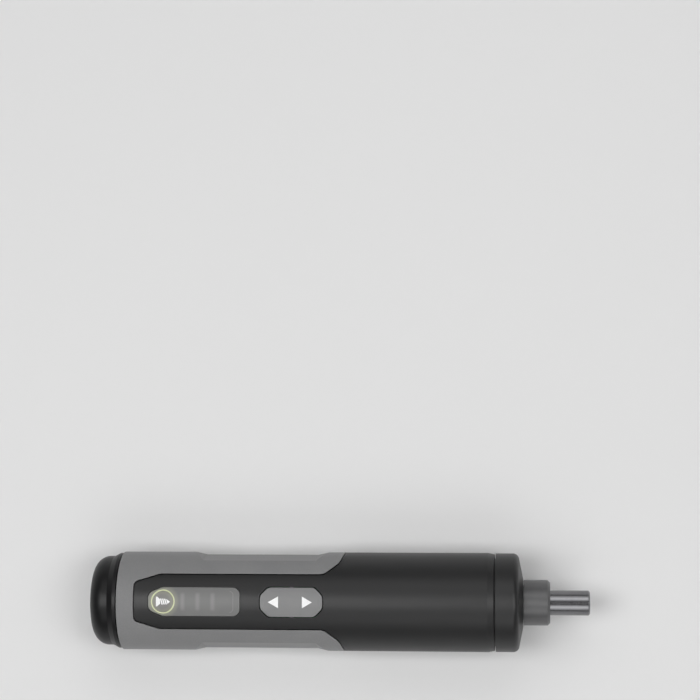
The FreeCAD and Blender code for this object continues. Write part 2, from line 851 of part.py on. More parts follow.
def upper_housing():
    shell = housing_half("upper")
    roof = common("roof_hollow", rod("roof_round", "X", roof_radius * 2, roof_start, bay_end - roof_start),
                  box("roof_block", (roof_start, -(d.roof_width / 2), board_top),
                      (bay_end, d.roof_width / 2, barrel_radius)))
    pivot = pivot_place
    reach = d.rocker_width / 2 + d.trunnion_length + d.rocker_gap
    notch = rod("pivot_notch", "Y", d.trunnion_diameter + d.bearing_gap * 2, -reach, reach * 2,
                (pivot, pivot_height))
    hollow = cut("upper_hollow", shell, grip_recess("upper"), roof,
                 window_plan("window_opening", d.window_gap),
                 rocker_plan("rocker_opening", d.rocker_gap), notch, *seam_cuts("upper"))
    inside = rod("upper_inside", "X", seat_radius * 2 - d.housing_wall, housing_start, bay_end - housing_start)
    bosses = []
    holes = []
    for along, across in screw_places():
        bosses.append(rod("upper_boss", "Z", d.boss_diameter, 0, bay_radius, (along, across)))
        holes.append(rod("upper_pilot", "Z", d.screw_diameter + d.fit_gap * 2, -d.cut_overrun,
                         d.screw_reach + d.cut_overrun * 2, (along, across)))
    bosses = common("upper_bosses", group("upper_boss_set", *bosses), inside)
    posts = []
    for along, across, top in post_places():
        posts.append(rod("board_post", "Z", d.post_diameter, board_top, top - board_top, (along, across)))
        holes.append(rod("post_pilot", "Z", d.board_screw_diameter + d.fit_gap * 2, board_bottom,
                         d.board_thickness + d.board_screw_reach + d.fit_gap, (along, across)))
    whole = fuse("upper_whole", hollow, bosses, *posts, *key_ribs("upper"))
    finish("upper_housing", cut("upper_drilled", whole, group("upper_holes", *holes)))


def lower_housing():
    shell = housing_half("lower")
    cell_room = rod("cell_room", "X", cell_radius * 2 + d.fit_gap * 4, cell_start - d.tab_thickness - d.fit_gap,
                    cell_end - cell_start + d.tab_thickness * 2 + d.seat_gap + d.fit_gap, (0, -cell_drop))
    hollow = cut("lower_hollow", shell, grip_recess("lower"), cell_room, *seam_cuts("lower"))
    inside = rod("lower_inside", "X", seat_radius * 2 - d.housing_wall, housing_start, bay_end - housing_start)
    bosses = []
    feet = []
    holes = []
    for along, across in screw_places():
        bosses.append(rod("lower_boss", "Z", d.boss_diameter, -barrel_radius, barrel_radius, (along, across)))
        feet.append(rod("boss_foot", "Z", d.boss_foot_diameter, -barrel_radius, barrel_radius - boss_foot_top,
                        (along, across)))
        shank = rod("lower_shank_hole", "Z", d.screw_diameter + d.fit_gap * 4, -barrel_radius,
                    barrel_radius + d.cut_overrun, (along, across))
        head = rod("lower_head_hole", "Z", d.screw_head_diameter + d.fit_gap * 4, -barrel_radius,
                   barrel_radius - screw_head_seat, (along, across))
        holes.append(fuse("lower_screw_hole", shank, head))
    bosses = common("lower_bosses", group("lower_boss_set", *bosses), inside)
    feet = common("boss_feet", group("boss_foot_set", *feet), inside)
    whole = fuse("lower_whole", hollow, bosses, feet, *key_ribs("lower"))
    finish("lower_housing", cut("lower_drilled", whole, group("lower_holes", *holes)))


def housing_screws():
    screws = []
    for along, across in screw_places():
        seat = -screw_head_seat
        head = rod("screw_head", "Z", d.screw_head_diameter, seat - d.screw_head_height, d.screw_head_height,
                   (along, across))
        shank = rod("screw_shank", "Z", d.screw_diameter, seat, screw_head_seat + d.screw_reach, (along, across))
        bottom = seat - d.screw_head_height
        slot = box("screw_slot", (along - d.screw_head_diameter, across - d.screw_slot_width / 2, bottom),
                   (along + d.screw_head_diameter, across + d.screw_slot_width / 2, bottom + d.screw_slot_depth))
        screws.append(cut("housing_screw", fuse("screw_blank", head, shank), slot))
    finish("housing_screws", group("housing_screw_set", *screws))


def rear_cap():
    radius = barrel_radius - d.cap_inset
    flare = barrel_radius - d.cap_flare_inset
    spigot = bay_radius - d.fit_gap
    bore = spigot - d.cap_spigot_wall
    end = spigot_end
    flare_start = d.cap_length - d.cap_flare_setback
    shell = turned("rear_cap_shell", [
        (0, 0),
        (0, radius),
        (flare_start, radius),
        (flare_start + d.cap_flare_length, flare),
        (d.cap_length, flare),
        (d.cap_length, spigot),
        (end, spigot),
        (end, bore),
        (d.cap_wall, bore),
        (d.cap_wall, 0),
    ])
    rounded(shell, d.cap_rounding, hoop(0, radius))
    port = prism("rear_cap_port", "YZ_Plane", rectangle(d.port_width, d.port_height), -d.cut_overrun,
                 d.cap_wall + d.cut_overrun * 2)
    rounded(port, d.port_rounding, lengthwise)
    floor = port_floor - d.charge_board_thickness
    shelf = common("board_shelf", rod("shelf_round", "X", (bore + d.fit_gap) * 2, d.cap_wall, end - d.cap_wall),
                   box("shelf_block", (d.cap_wall, -barrel_radius, floor - d.shelf_thickness),
                       (end, barrel_radius, floor)))
    finish("rear_cap", fuse("rear_cap_whole", cut("rear_cap_open", shell, port), shelf))


def charging_socket():
    start = d.socket_shell_setback
    outer = prism("socket_outer", "YZ_Plane", rectangle(d.socket_shell_width, d.socket_shell_height), start,
                  d.socket_shell_length)
    rounded(outer, d.socket_shell_rounding, lengthwise)
    wall = d.socket_shell_wall
    room_width = d.socket_shell_width - wall * 2
    room_height = d.socket_shell_height - wall * 2
    inner = prism("socket_inner", "YZ_Plane", rectangle(room_width, room_height), start - d.cut_overrun,
                  d.socket_shell_length + d.cut_overrun * 2)
    rounded(inner, d.socket_shell_rounding - wall, lengthwise)
    finish("charging_socket", cut("socket_tube", outer, inner))
    end = start + d.socket_shell_length
    block = prism("socket_block", "YZ_Plane", rectangle(room_width - d.fit_gap * 2, room_height - d.fit_gap * 2),
                  end - d.socket_block_length, d.socket_block_length)
    rounded(block, d.socket_shell_rounding - wall, lengthwise)
    tongue = box("socket_tongue", (start + d.tongue_setback, -(d.tongue_width / 2), -(d.tongue_thickness / 2)),
                 (end - d.socket_block_length / 2, d.tongue_width / 2, d.tongue_thickness / 2))
    finish("charging_tongue", fuse("socket_core", block, tongue))
    board_start = d.cap_wall + d.seat_gap
    half = d.charge_board_width / 2
    board = box("charging_board_blank", (board_start, -half, port_floor - d.charge_board_thickness),
                (board_start + d.charge_board_length, half, port_floor))
    finish("charging_board", group("charging_board_sheet", board))


def swept_lead(points, bend, diameter):
    # a round lead through given corners, each corner an arc tangent to its two straight runs
    corners = [FreeCAD.Vector(*point) for point in points]
    edges = []
    previous = corners[0]
    for before, corner, after in zip(corners, corners[1:], corners[2:]):
        into = (corner - before).normalize()
        out = (after - corner).normalize()
        first = corner - into * bend
        last = corner + out * bend
        middle = corner + (out - into) * bend * (1 - math.sqrt(0.5))
        edges.append(Part.LineSegment(previous, first).toShape())
        edges.append(Part.Arc(first, middle, last).toShape())
        previous = last
    edges.append(Part.LineSegment(previous, corners[-1]).toShape())
    path = Part.Wire(edges)
    start = (corners[1] - corners[0]).normalize()
    ring = Part.Wire([Part.Circle(corners[0], start, diameter / 2).toShape()])
    return path.makePipeShell([ring], True, True)


def leads():
    charge_lead_start = d.cap_wall + d.seat_gap + d.charge_board_length - d.charge_lead_inset
    charge_lead_end = board_start + d.charge_lead_reach
    runs = []
    for side in (lead_half.value, -lead_half.value):
        points = [
            (charge_lead_start.value, side, port_floor.value),
            (charge_lead_start.value, side, charge_lead_height.value),
            (charge_lead_end.value, side, charge_lead_height.value),
            (charge_lead_end.value, side, board_bottom.value),
        ]
        runs.append(swept_lead(points, d.charge_lead_bend.value, d.lead_diameter.value))
    wires = doc.addObject("Part::Feature", "charging_leads")
    wires.Shape = Part.makeCompound(runs)
    finish("charging_leads", wires)
    top = d.terminal_thickness / 2
    pair = []
    for side in (1, -1):
        pair.append(rod("motor_lead", "Z", d.lead_diameter, top, board_bottom - top,
                        (motor_lead_place, lead_half * side)))
    finish("motor_leads", group("motor_lead_pair", *pair))


def window_pieces():
    start = window_start - d.window_flange - d.cut_overrun
    length = window_length + (d.window_flange + d.cut_overrun) * 2
    face_diameter = (barrel_radius + d.window_proud) * 2
    pane = common("window_pane", tube("pane_round", face_diameter, (rim_top - d.fit_gap) * 2, start, length),
                  window_plan("pane_plan", d.window_gap * 0))
    flange = common("window_rim", tube("rim_round", rim_top * 2, rim_foot * 2, start, length),
                    window_plan("rim_plan", d.window_flange))
    eye = ring_outer + d.fit_gap * 2
    hole = rod("window_eye", "Z", eye, 0, barrel_radius + d.cut_overrun, (button_position, 0))
    slots = [bar_block("bar_slot", middle, d.fit_gap) for middle in bar_places]
    finish("display_window", cut("window_whole", fuse("window_blank", pane, flange), hole,
                                 group("bar_slots", *slots)))
    face = rod("ring_face", "X", face_diameter, start, length)
    ring_inner = d.button_diameter + d.button_gap * 2
    height = barrel_radius + d.cut_overrun - ring_foot
    ring = cut("ring_tube", rod("ring_blank", "Z", ring_outer, ring_foot, height, (button_position, 0)),
               rod("ring_inner", "Z", ring_inner, ring_foot - d.cut_overrun, height + d.cut_overrun * 2,
                   (button_position, 0)))
    finish("light_ring", common("ring_shaped", ring, face))
    bars = []
    for middle in bar_places:
        bar_face = rod("bar_face", "X", face_diameter, start, length)
        bars.append(common("charge_bar", bar_block("bar_blank", middle, d.fit_gap * 0), bar_face))
    finish("charge_bars", group("charge_bar_set", *bars))


def bar_block(label, middle, grow):
    return box(label, (middle - d.bar_width / 2 - grow, -(d.bar_height / 2) - grow, bar_foot - grow * 2),
               (middle + d.bar_width / 2 + grow, d.bar_height / 2 + grow, barrel_radius + d.cut_overrun))


def mode_button():
    face = rod("button_face", "X", (barrel_radius + d.button_proud) * 2, window_start, window_length)
    middle = (button_position, 0)
    foot = button_flange_top - d.button_flange_thickness
    cap = common("button_cap", face, rod("button_round", "Z", d.button_diameter, foot, barrel_radius, middle))
    flange = rod("button_flange", "Z", d.button_flange_diameter, foot, d.button_flange_thickness, middle)
    stem = rod("button_stem", "Z", d.button_stem_diameter, button_stem_foot, foot - button_stem_foot + d.fit_gap,
               middle)
    finish("mode_button", fuse("button_whole", cap, flange, stem))


def rocker_lead(label, end, sense):
    # the shallow facet that eases one end of the rocker's top
    top = barrel_radius + d.rocker_proud
    inner = end - d.rocker_lead_length * (1 + LEAD_REACH_SHARE) * sense
    outer = end + d.rocker_lead_length * LEAD_REACH_SHARE * sense
    roof = top + d.cut_overrun
    points = [(inner, top + d.rocker_lead_drop * LEAD_REACH_SHARE),
              (outer, top - d.rocker_lead_drop * (1 + LEAD_REACH_SHARE)), (outer, roof), (inner, roof)]
    return prism(label, "XZ_Plane", points, -(d.rocker_width / 2) - d.cut_overrun,
                 d.rocker_width + d.cut_overrun * 2)


def direction_rocker():
    top = barrel_radius + d.rocker_proud
    start = rocker_start - d.cut_overrun
    length = rocker_length + d.cut_overrun * 2
    slab = common("rocker_slab", tube("rocker_round", top * 2, (top - d.rocker_thickness) * 2, start, length),
                  rocker_plan("rocker_plan", d.rocker_gap * 0))
    slab = cut("rocker_eased", slab, rocker_lead("rear_lead", rocker_start, -1),
               rocker_lead("front_lead", rocker_end, 1))
    pivot = pivot_place
    reach = d.rocker_width / 2 + d.trunnion_length
    half = d.rocker_width / 2
    spine = box("rocker_spine", (pivot - d.rocker_spine_width / 2, -half, pivot_height - d.rocker_spine_drop),
                (pivot + d.rocker_spine_width / 2, half, pivot_height + d.trunnion_diameter / 2))
    parts = [slab, spine]
    parts.append(rod("rocker_trunnion", "Y", d.trunnion_diameter, -reach, reach * 2, (pivot, pivot_height)))
    for side in (1, -1):
        parts.append(rod("rocker_nub", "Z", d.nub_diameter, nub_foot, pivot_height + d.fit_gap - nub_foot
                         + d.rocker_thickness / 2, (pivot + nub_offset * side, 0)))
    finish("direction_rocker", fuse("rocker_whole", *parts))


def control_board():
    end = board_end
    half = board_half
    blank = box("board_blank", (board_start, -half, board_bottom), (end, half, board_top))
    holes = []
    screws = []
    for along, across, _ in post_places():
        holes.append(rod("board_hole", "Z", d.board_screw_diameter + d.fit_gap * 4, board_bottom - d.cut_overrun,
                         d.board_thickness + d.cut_overrun * 2, (along, across)))
        head = rod("board_screw_head", "Z", d.board_screw_head_diameter, board_bottom - d.board_screw_head_height,
                   d.board_screw_head_height, (along, across))
        shank = rod("board_screw_shank", "Z", d.board_screw_diameter, board_bottom,
                    d.board_thickness + d.board_screw_reach, (along, across))
        screws.append(fuse("board_screw", head, shank))
    for along, across in screw_places():
        holes.append(rod("board_notch", "Z", d.boss_diameter + d.board_boss_gap * 2, board_bottom - d.cut_overrun,
                         d.board_thickness + d.cut_overrun * 2, (along, across)))
    finish("control_board", cut("board_drilled", blank, group("board_holes", *holes)))
    finish("board_screws", group("board_screw_set", *screws))
    pivot = pivot_place
    places = [(button_position, d.button_plunger_height), (pivot - nub_offset, d.rocker_plunger_height),
              (pivot + nub_offset, d.rocker_plunger_height)]
    switches = []
    side = d.tact_width / 2
    for along, height in places:
        case = box("switch_case", (along - side, -side, board_top), (along + side, side, board_top + d.tact_height))
        plunger = rod("switch_plunger", "Z", d.tact_plunger_diameter, board_top, d.tact_height + height, (along, 0))
        switches.append(fuse("push_switch", case, plunger))
    finish("push_switches", group("push_switch_set", *switches))
    lamps = []
    for middle in bar_places:
        lamps.append(box("bar_lamp", (middle - d.lamp_length / 2, -(d.lamp_width / 2), board_top),
                         (middle + d.lamp_length / 2, d.lamp_width / 2, board_top + d.lamp_height)))
    finish("indicator_lamps", group("bar_lamp_set", *lamps))


def lithium_cell():
    radius = cell_radius
    shoulder = cell_end - d.cell_terminal_height
    finish("lithium_cell", turned("cell_can", [
        (cell_start, 0),
        (cell_start, radius),
        (shoulder, radius),
        (shoulder, d.cell_terminal_diameter / 2 + d.cell_terminal_inset),
        (shoulder - d.cell_terminal_inset, d.cell_terminal_diameter / 2 + d.cell_terminal_inset),
        (shoulder - d.cell_terminal_inset, 0),
    ]), -cell_drop)
    button = rod("cell_button", "X", d.cell_terminal_diameter, shoulder - d.cell_terminal_inset,
                 d.cell_terminal_height + d.cell_terminal_inset)
    finish("cell_terminal", group("cell_button_disc", button), -cell_drop)
    low = -cell_drop - tab_half
    half = tab_half
    rear = box("rear_tab", (cell_start - d.tab_thickness, -half, low), (cell_start, half, board_bottom))
    front = box("front_tab", (cell_end, -half, low), (cell_end + d.tab_thickness, half, board_bottom))
    finish("cell_tabs", group("cell_tab_pair", rear, front))


def motor():
    bore = d.shaft_diameter / 2 + d.bearing_gap
    radius = motor_radius
    can_start = motor_start + d.bell_length
    boss = d.motor_boss_diameter / 2
    can = turned("can_blank", [
        (can_start, bore),
        (can_start, radius),
        (motor_front, radius),
        (motor_front, boss),
        (motor_front + d.motor_boss_length, boss),
        (motor_front + d.motor_boss_length, bore),
    ])
    rounded(can, d.motor_rounding, hoop(motor_front, radius))
    holes = []
    screws = []
    plate_holes = []
    for side in (1, -1):
        across = (motor_screw_half * side, 0)
        start = motor_front - d.motor_screw_reach
        holes.append(rod("can_thread", "X", d.motor_screw_diameter + d.fit_gap * 2, start - d.fit_gap,
                         d.motor_screw_reach + d.cut_overrun, across))
        shank = rod("motor_screw_shank", "X", d.motor_screw_diameter, start, d.motor_screw_reach + d.plate_thickness,
                    across)
        taper = (d.motor_screw_head_diameter - d.motor_screw_diameter) / 2
        head = cone("motor_screw_head", d.motor_screw_diameter, d.motor_screw_head_diameter, plate_front - taper,
                    taper, across)
        screws.append(fuse("motor_screw", shank, head))
        gap = d.fit_gap * 4
        room = rod("plate_hole", "X", d.motor_screw_diameter + gap, motor_front - d.cut_overrun,
                   d.plate_thickness + d.cut_overrun * 2, across)
        sink = cone("plate_sink", d.motor_screw_diameter + gap, d.motor_screw_head_diameter + gap,
                    plate_front - taper, taper, across)
        plate_holes.append(fuse("plate_room", room, sink))
    finish("motor_can", cut("can_tapped", can, group("can_threads", *holes)))
    finish("motor_screws", group("motor_screw_pair", *screws))
    hub = bell_hub_radius
    bell = motor_radius - d.bell_inset
    finish("motor_end_bell", turned("bell_blank", [
        (motor_start, bore),
        (motor_start, hub),
        (motor_start + d.bell_hub_length, hub),
        (motor_start + d.bell_hub_length, bell),
        (can_start, bell),
        (can_start, bore),
    ]))
    tags = []
    for side in (1, -1):
        middle = lead_half * side
        tags.append(box("motor_tag", (motor_start + d.bell_hub_length - d.terminal_length - d.bell_hub_length,
                                      middle - d.terminal_width / 2, -(d.terminal_thickness / 2)),
                        (motor_start + d.bell_hub_length, middle + d.terminal_width / 2, d.terminal_thickness / 2)))
    finish("motor_terminals", group("motor_tag_pair", *tags))
    plate = turned("plate_blank", [
        (motor_front, boss + d.fit_gap),
        (motor_front, plate_radius),
        (plate_front, plate_radius),
        (plate_front, boss + d.fit_gap),
    ])
    finish("motor_plate", cut("plate_drilled", plate, group("plate_rooms", *plate_holes)))
    tail = motor_start + d.bell_hub_length
    finish("motor_shaft", turned("shaft_bar", [
        (tail, 0),
        (tail, d.shaft_diameter / 2),
        (pinion_start - d.fit_gap, d.shaft_diameter / 2),
        (pinion_start - d.fit_gap, pinion_seat_radius),
        (first_planets_end, pinion_seat_radius),
        (first_planets_end, 0),
    ]))


def involute(angle):
    return math.tan(angle) - angle


def flank_angle(teeth, module, radius, shift):
    # half the angle a tooth spans at one radius, the flank running straight inward below the base circle
    pitch = teeth * module / 2
    base = pitch * math.cos(PRESSURE_ANGLE)
    middle = math.pi / (2 * teeth) + shift / (2 * pitch)
    here = math.acos(base / radius) if radius > base else 0.0
    return middle + involute(PRESSURE_ANGLE) - involute(here)


def gear_face(teeth, module, root, tip, shift, phase, start):
    # outline of a spur gear across the tool's axis; phase turns it by a share of one tooth
    pitch = teeth * module / 2
    points = []
    for place in range(teeth):
        centre = 2 * math.pi * (place + phase) / teeth
        rise = [(radius, flank_angle(teeth, module, radius, shift)) for radius in (root, pitch, tip)]
        for radius, spread in rise:
            points.append((radius, centre - spread))
        for radius, spread in reversed(rise):
            points.append((radius, centre + spread))
    corners = [FreeCAD.Vector(start, radius * math.cos(turn), radius * math.sin(turn)) for radius, turn in points]
    return Part.makePolygon(corners + corners[:1])


def gear(label, teeth, share, start, width, phase, bore=0):
    module = tooth_module.value
    pitch = teeth.value * module / 2
    tip = pitch + module * share
    root = pitch - module * DEDENDUM_SHARE
    wires = [gear_face(int(teeth.value), module, root, tip, -d.tooth_thinning.value, phase, number(start))]
    if bore:
        centre = FreeCAD.Vector(number(start), 0, 0)
        wires.append(Part.Wire([Part.Circle(centre, FreeCAD.Vector(1, 0, 0), number(bore) / 2).toShape()]))
    wheel = doc.addObject("Part::Feature", label)
    face = Part.makeFace(wires, "Part::FaceMakerBullseye")
    wheel.Shape = face.extrude(FreeCAD.Vector(number(width), 0, 0))
    return wheel


def orbit_places():
    count = int(d.planet_count.value)
    return [math.radians(360.0 * place / count) for place in range(count)]


def planet_set(label, start):
    bore = d.pin_diameter + d.bearing_gap * 2
    for place, angle in enumerate(orbit_places(), start=1):
        # each planet meets the sun with a tooth gap, so its own tooth stands half a pitch off the line of centres
        name = f"{label}_planet_{'abc'[place - 1]}"
        wheel = gear(name, d.planet_teeth, PLANET_ADDENDUM_SHARE, start, d.planet_width, 0.5, bore)
        turn = FreeCAD.Rotation(FreeCAD.Vector(1, 0, 0), math.degrees(angle))
        wheel.Placement = FreeCAD.Placement(FreeCAD.Vector(), turn)
        finish(name, wheel)
        bind(wheel, "Placement.Base.y", planet_orbit * math.cos(angle))
        bind(wheel, "Placement.Base.z", barrel_radius + planet_orbit * math.sin(angle))


def pin_set(label, diameter, start, length):
    pins = []
    for angle in orbit_places():
        pins.append(rod(label, "X", diameter, start, length,
                        (planet_orbit * math.cos(angle), planet_orbit * math.sin(angle))))
    return group(label + "_set", *pins)


def gearbox():
    finish("motor_pinion", gear("motor_pinion_wheel", d.sun_teeth, ADDENDUM_SHARE, pinion_start,
                                first_planets_end - pinion_start, 0, pinion_seat_radius * 2 + d.fit_gap / 5))
    planet_set("first", first_planets_start)
    disc = carrier_radius
    sun_room = sun_tip_radius + d.fit_gap
    carrier = turned("first_carrier_disc", [
        (first_carrier_start, sun_room),
        (first_carrier_start, disc),
        (first_carrier_end, disc),
        (first_carrier_end, sun_room),
    ])
    pin_hole = d.pin_diameter + d.fit_gap / 5
    holes = pin_set("first_pin_hole", pin_hole, first_carrier_start - d.cut_overrun,
                    d.first_carrier_thickness - d.pin_cover + d.cut_overrun)
    finish("first_carrier", cut("first_carrier_drilled", carrier, holes))
    pin_start = first_planets_start - d.pin_overhang
    finish("first_planet_pins", pin_set("first_pin", d.pin_diameter, pin_start,
                                        first_carrier_end - d.pin_cover - pin_start))
    finish("second_sun", gear("second_sun_wheel", d.sun_teeth, ADDENDUM_SHARE, first_carrier_start,
                              second_planets_end - first_carrier_start, 0))
    planet_set("second", second_planets_start)
    spigot = d.spigot_diameter / 2
    output = turned("output_carrier_disc", [
        (output_carrier_start, spigot + d.fit_gap / 5),
        (output_carrier_start, disc),
        (output_carrier_end, disc),
        (output_carrier_end, spigot + d.fit_gap / 5),
    ])
    holes = pin_set("second_pin_hole", pin_hole, output_carrier_start - d.cut_overrun,
                    d.output_carrier_thickness - d.pin_cover + d.cut_overrun)
    finish("output_carrier", cut("output_carrier_drilled", output, holes))
    pin_start = second_planets_start - d.pin_overhang
    finish("second_planet_pins", pin_set("second_pin", d.pin_diameter, pin_start,
                                         output_carrier_end - d.pin_cover - pin_start))
    finish("thrust_washer", turned("washer_ring", [
        (case_wall_start - d.washer_thickness, d.journal_diameter / 2 + d.seat_gap),
        (case_wall_start - d.washer_thickness, d.journal_diameter / 2 + d.washer_width),
        (case_wall_start, d.journal_diameter / 2 + d.washer_width),
        (case_wall_start, d.journal_diameter / 2 + d.seat_gap),
    ]))


def gear_case():
    neck = d.neck_diameter / 2
    neck_bore = d.journal_diameter / 2 + d.bearing_gap + d.bush_wall + d.fit_gap / 5
    blank = turned("case_blank", [
        (motor_front, recess_radius),
        (motor_front, case_radius),
        (case_end, case_radius),
        (case_end, neck),
        (neck_end, neck),
        (neck_end, neck_bore),
        (case_wall_start, neck_bore),
        (case_wall_start, ring_tip_radius),
        (plate_front, ring_tip_radius),
        (plate_front, recess_radius),
    ])
    module = tooth_module.value
    teeth = int(d.sun_teeth.value + 2 * d.planet_teeth.value)
    root = ring_pitch_radius.value + module * ADDENDUM_SHARE
    start = plate_front.value - d.cut_overrun.value / 2
    wire = gear_face(teeth, module, ring_tip_radius.value, root, d.tooth_thinning.value, 0.5, start)
    spaces = doc.addObject("Part::Feature", "ring_tooth_spaces")
    spaces.Shape = Part.Face(wire).extrude(FreeCAD.Vector(output_carrier_start.value - start, 0, 0))
    lugs = []
    root = case_radius - d.case_wall / 2
    reach = barrel_bore - d.lug_gap
    for first, last in ((root, reach), (-reach, -root)):
        lugs.append(box("case_lug", (lug_start, first, -(d.lug_width / 2)),
                        (lug_start + d.lug_length, last, d.lug_width / 2)))
    finish("gear_case", fuse("case_whole", cut("case_toothed", blank, spaces), *lugs))


def bushes():
    inner = d.journal_diameter / 2 + d.bearing_gap
    outer = inner + d.bush_wall
    rear_end = case_wall_start + d.rear_bush_length
    front_end = neck_end - d.front_bush_setback
    for label, start, end in (("rear_bush", case_wall_start, rear_end),
                              ("front_bush", front_end - d.front_bush_length, front_end)):
        finish(label, turned(label + "_ring", [(start, inner), (start, outer), (end, outer), (end, inner)]))


def spindle():
    journal = d.journal_diameter / 2
    spigot = d.spigot_diameter / 2
    nose = d.spindle_diameter / 2
    end = d.overall_length
    clip_start = neck_end - d.front_bush_setback + d.washer_gap
    groove = journal - d.clip_groove_depth
    clip_end = clip_start + d.clip_thickness
    blank = turned("spindle_bar", [
        (output_carrier_start, 0),
        (output_carrier_start, spigot),
        (output_carrier_end, spigot),
        (output_carrier_end, journal),
        (clip_start - d.fit_gap, journal),
        (clip_start - d.fit_gap, groove),
        (clip_end + d.fit_gap, groove),
        (clip_end + d.fit_gap, journal),
        (nose_start, journal),
        (nose_start, nose),
        (end, nose),
        (end, 0),
    ])
    bevelled(blank, d.socket_lead_in, hoop(end, nose))
    corner = d.socket_flats / math.sqrt(3)
    hexagon = []
    for place in range(6):
        angle = math.radians(60 * place + 30)
        hexagon.append((corner * math.cos(angle), corner * math.sin(angle)))
    floor = end - d.socket_depth
    socket = prism("hex_socket", "YZ_Plane", hexagon, floor, d.socket_depth + d.cut_overrun)
    lead = cone("socket_mouth", d.socket_flats, corner * 2 + d.fit_gap * 2, end - d.socket_lead_in, d.socket_lead_in)
    room = rod("magnet_room", "X", d.magnet_diameter + d.fit_gap * 2, floor - d.magnet_thickness, d.magnet_thickness
               + d.fit_gap)
    finish("spindle", cut("spindle_whole", blank, socket, lead, room))
    magnet = rod("magnet_disc", "X", d.magnet_diameter, floor - d.magnet_thickness, d.magnet_thickness)
    finish("bit_magnet", group("bit_magnet_disc", magnet))
    ring = turned("clip_ring", [
        (clip_start, groove + d.fit_gap / 5),
        (clip_start, d.clip_diameter / 2),
        (clip_end, d.clip_diameter / 2),
        (clip_end, groove + d.fit_gap / 5),
    ])
    slot = box("clip_slot", (clip_start - d.cut_overrun, -(d.clip_gap_width / 2), 0),
               (clip_end + d.cut_overrun, d.clip_gap_width / 2, d.clip_diameter))
    finish("spindle_clip", cut("clip_open", ring, slot))


def nose_collar():
    bore = d.neck_diameter / 2 + d.fit_gap
    eye = d.spindle_diameter / 2 + d.collar_eye_gap
    radius = d.collar_diameter / 2
    body = turned("collar_ring", [
        (collar_start, bore),
        (collar_start, radius),
        (collar_end, radius),
        (collar_end, eye),
        (collar_end - d.collar_lip, eye),
        (collar_end - d.collar_lip, bore),
    ])
    finish("nose_collar", bevelled(body, d.collar_chamfer, hoop(collar_end, radius)))


def front_cap():
    radius = barrel_radius - d.front_cap_inset
    bore = d.neck_diameter / 2 + d.fit_gap
    sleeve = bore + d.front_cap_sleeve_wall
    start = barrel_end + d.parting_gap
    inner = lip_radius + d.fit_gap
    skirt_end = lip_end + d.seat_gap
    floor = front_cap_corner - d.front_cap_wall
    body = turned("front_cap_shell", [
        (start, inner),
        (start, radius),
        (front_cap_corner, radius),
        (front_cap_end, d.collar_diameter / 2 + d.front_cap_ledge),
        (front_cap_end, bore),
        (case_end, bore),
        (case_end, sleeve),
        (floor, sleeve),
        (floor, lip_bore),
        (skirt_end, lip_bore),
        (skirt_end, inner),
    ])
    rounded(body, d.front_cap_rounding, hoop(front_cap_corner, radius))
    finish("front_cap", body)


upper_housing()
lower_housing()
grip_sleeve()
rear_cap()
charging_socket()
leads()
window_pieces()
mode_button()
direction_rocker()
control_board()
lithium_cell()
motor()
gearbox()
gear_case()
bushes()
spindle()
nose_collar()
front_cap()
housing_screws()
doc.recompute()

broken = [item.Label for item in doc.Objects if "Invalid" in item.State or "Error" in item.State]
for node in nodes:
    if node.Shape.isNull() or not node.Shape.isValid() or not node.Shape.Solids:
        broken.append(node.Label)
if broken:
    raise RuntimeError("not built: " + ", ".join(broken))

os.makedirs("parts", exist_ok=True)
for node in nodes:
    node.Shape.exportStep(f"parts/{node.Label}.step")
    bounds = node.Shape.BoundBox
    corners = (bounds.XMin, bounds.XMax, bounds.YMin, bounds.YMax, bounds.ZMin, bounds.ZMax)
    print(node.Label, len(node.Shape.Solids), round(node.Shape.Volume, 2), [round(value, 2) for value in corners])
print(len(nodes), "pieces")
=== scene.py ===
import math
import bpy
import bmesh
from mathutils import Matrix, Vector
from mathutils.bvhtree import BVHTree


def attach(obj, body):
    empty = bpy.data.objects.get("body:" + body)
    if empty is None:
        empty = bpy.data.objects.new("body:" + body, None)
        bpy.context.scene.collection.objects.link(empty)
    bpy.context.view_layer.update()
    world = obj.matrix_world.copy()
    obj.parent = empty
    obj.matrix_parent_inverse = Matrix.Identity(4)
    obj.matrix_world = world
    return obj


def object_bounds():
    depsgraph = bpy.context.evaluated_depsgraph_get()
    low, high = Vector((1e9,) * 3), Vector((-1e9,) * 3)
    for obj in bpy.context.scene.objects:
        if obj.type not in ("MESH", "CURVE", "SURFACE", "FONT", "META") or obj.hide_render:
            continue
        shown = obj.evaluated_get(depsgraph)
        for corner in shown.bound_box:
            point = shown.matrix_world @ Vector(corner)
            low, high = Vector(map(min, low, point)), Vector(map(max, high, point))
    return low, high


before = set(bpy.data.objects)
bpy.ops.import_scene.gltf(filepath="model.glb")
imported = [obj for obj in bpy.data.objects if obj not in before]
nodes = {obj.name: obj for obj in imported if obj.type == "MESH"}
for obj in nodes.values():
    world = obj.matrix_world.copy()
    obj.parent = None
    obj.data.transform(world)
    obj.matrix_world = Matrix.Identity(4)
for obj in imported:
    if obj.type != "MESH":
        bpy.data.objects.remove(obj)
cadLow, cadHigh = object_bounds()
rearEnd = cadLow.x  # every length along the tool counts from here
perMetre = 1000  # prints and lit pieces are given in millimetres

cloudSpan = (0.3, 0.7)  # the middle of a noise, which carries its light and dark
blendSpan = (0.35, 0.65)  # the same for two noises added up
glowSpan = (0.25, 0.75)
edgeRub = {"samples": 6, "start": 0.985, "full": 0.86}  # cosines of the turn at a corner
flow = {"width": 0.12, "drawn": 0.12, "leastRub": 0.25, "cloudShare": 0.6}  # streaks drawn along the tool


def linearTone(levels):  # screen levels 0-255 to the shader's linear colour
    steps = [level / 255 for level in levels]
    return (*[s / 12.92 if s <= 0.04045 else ((s + 0.055) / 1.055) ** 2.4 for s in steps], 1.0)


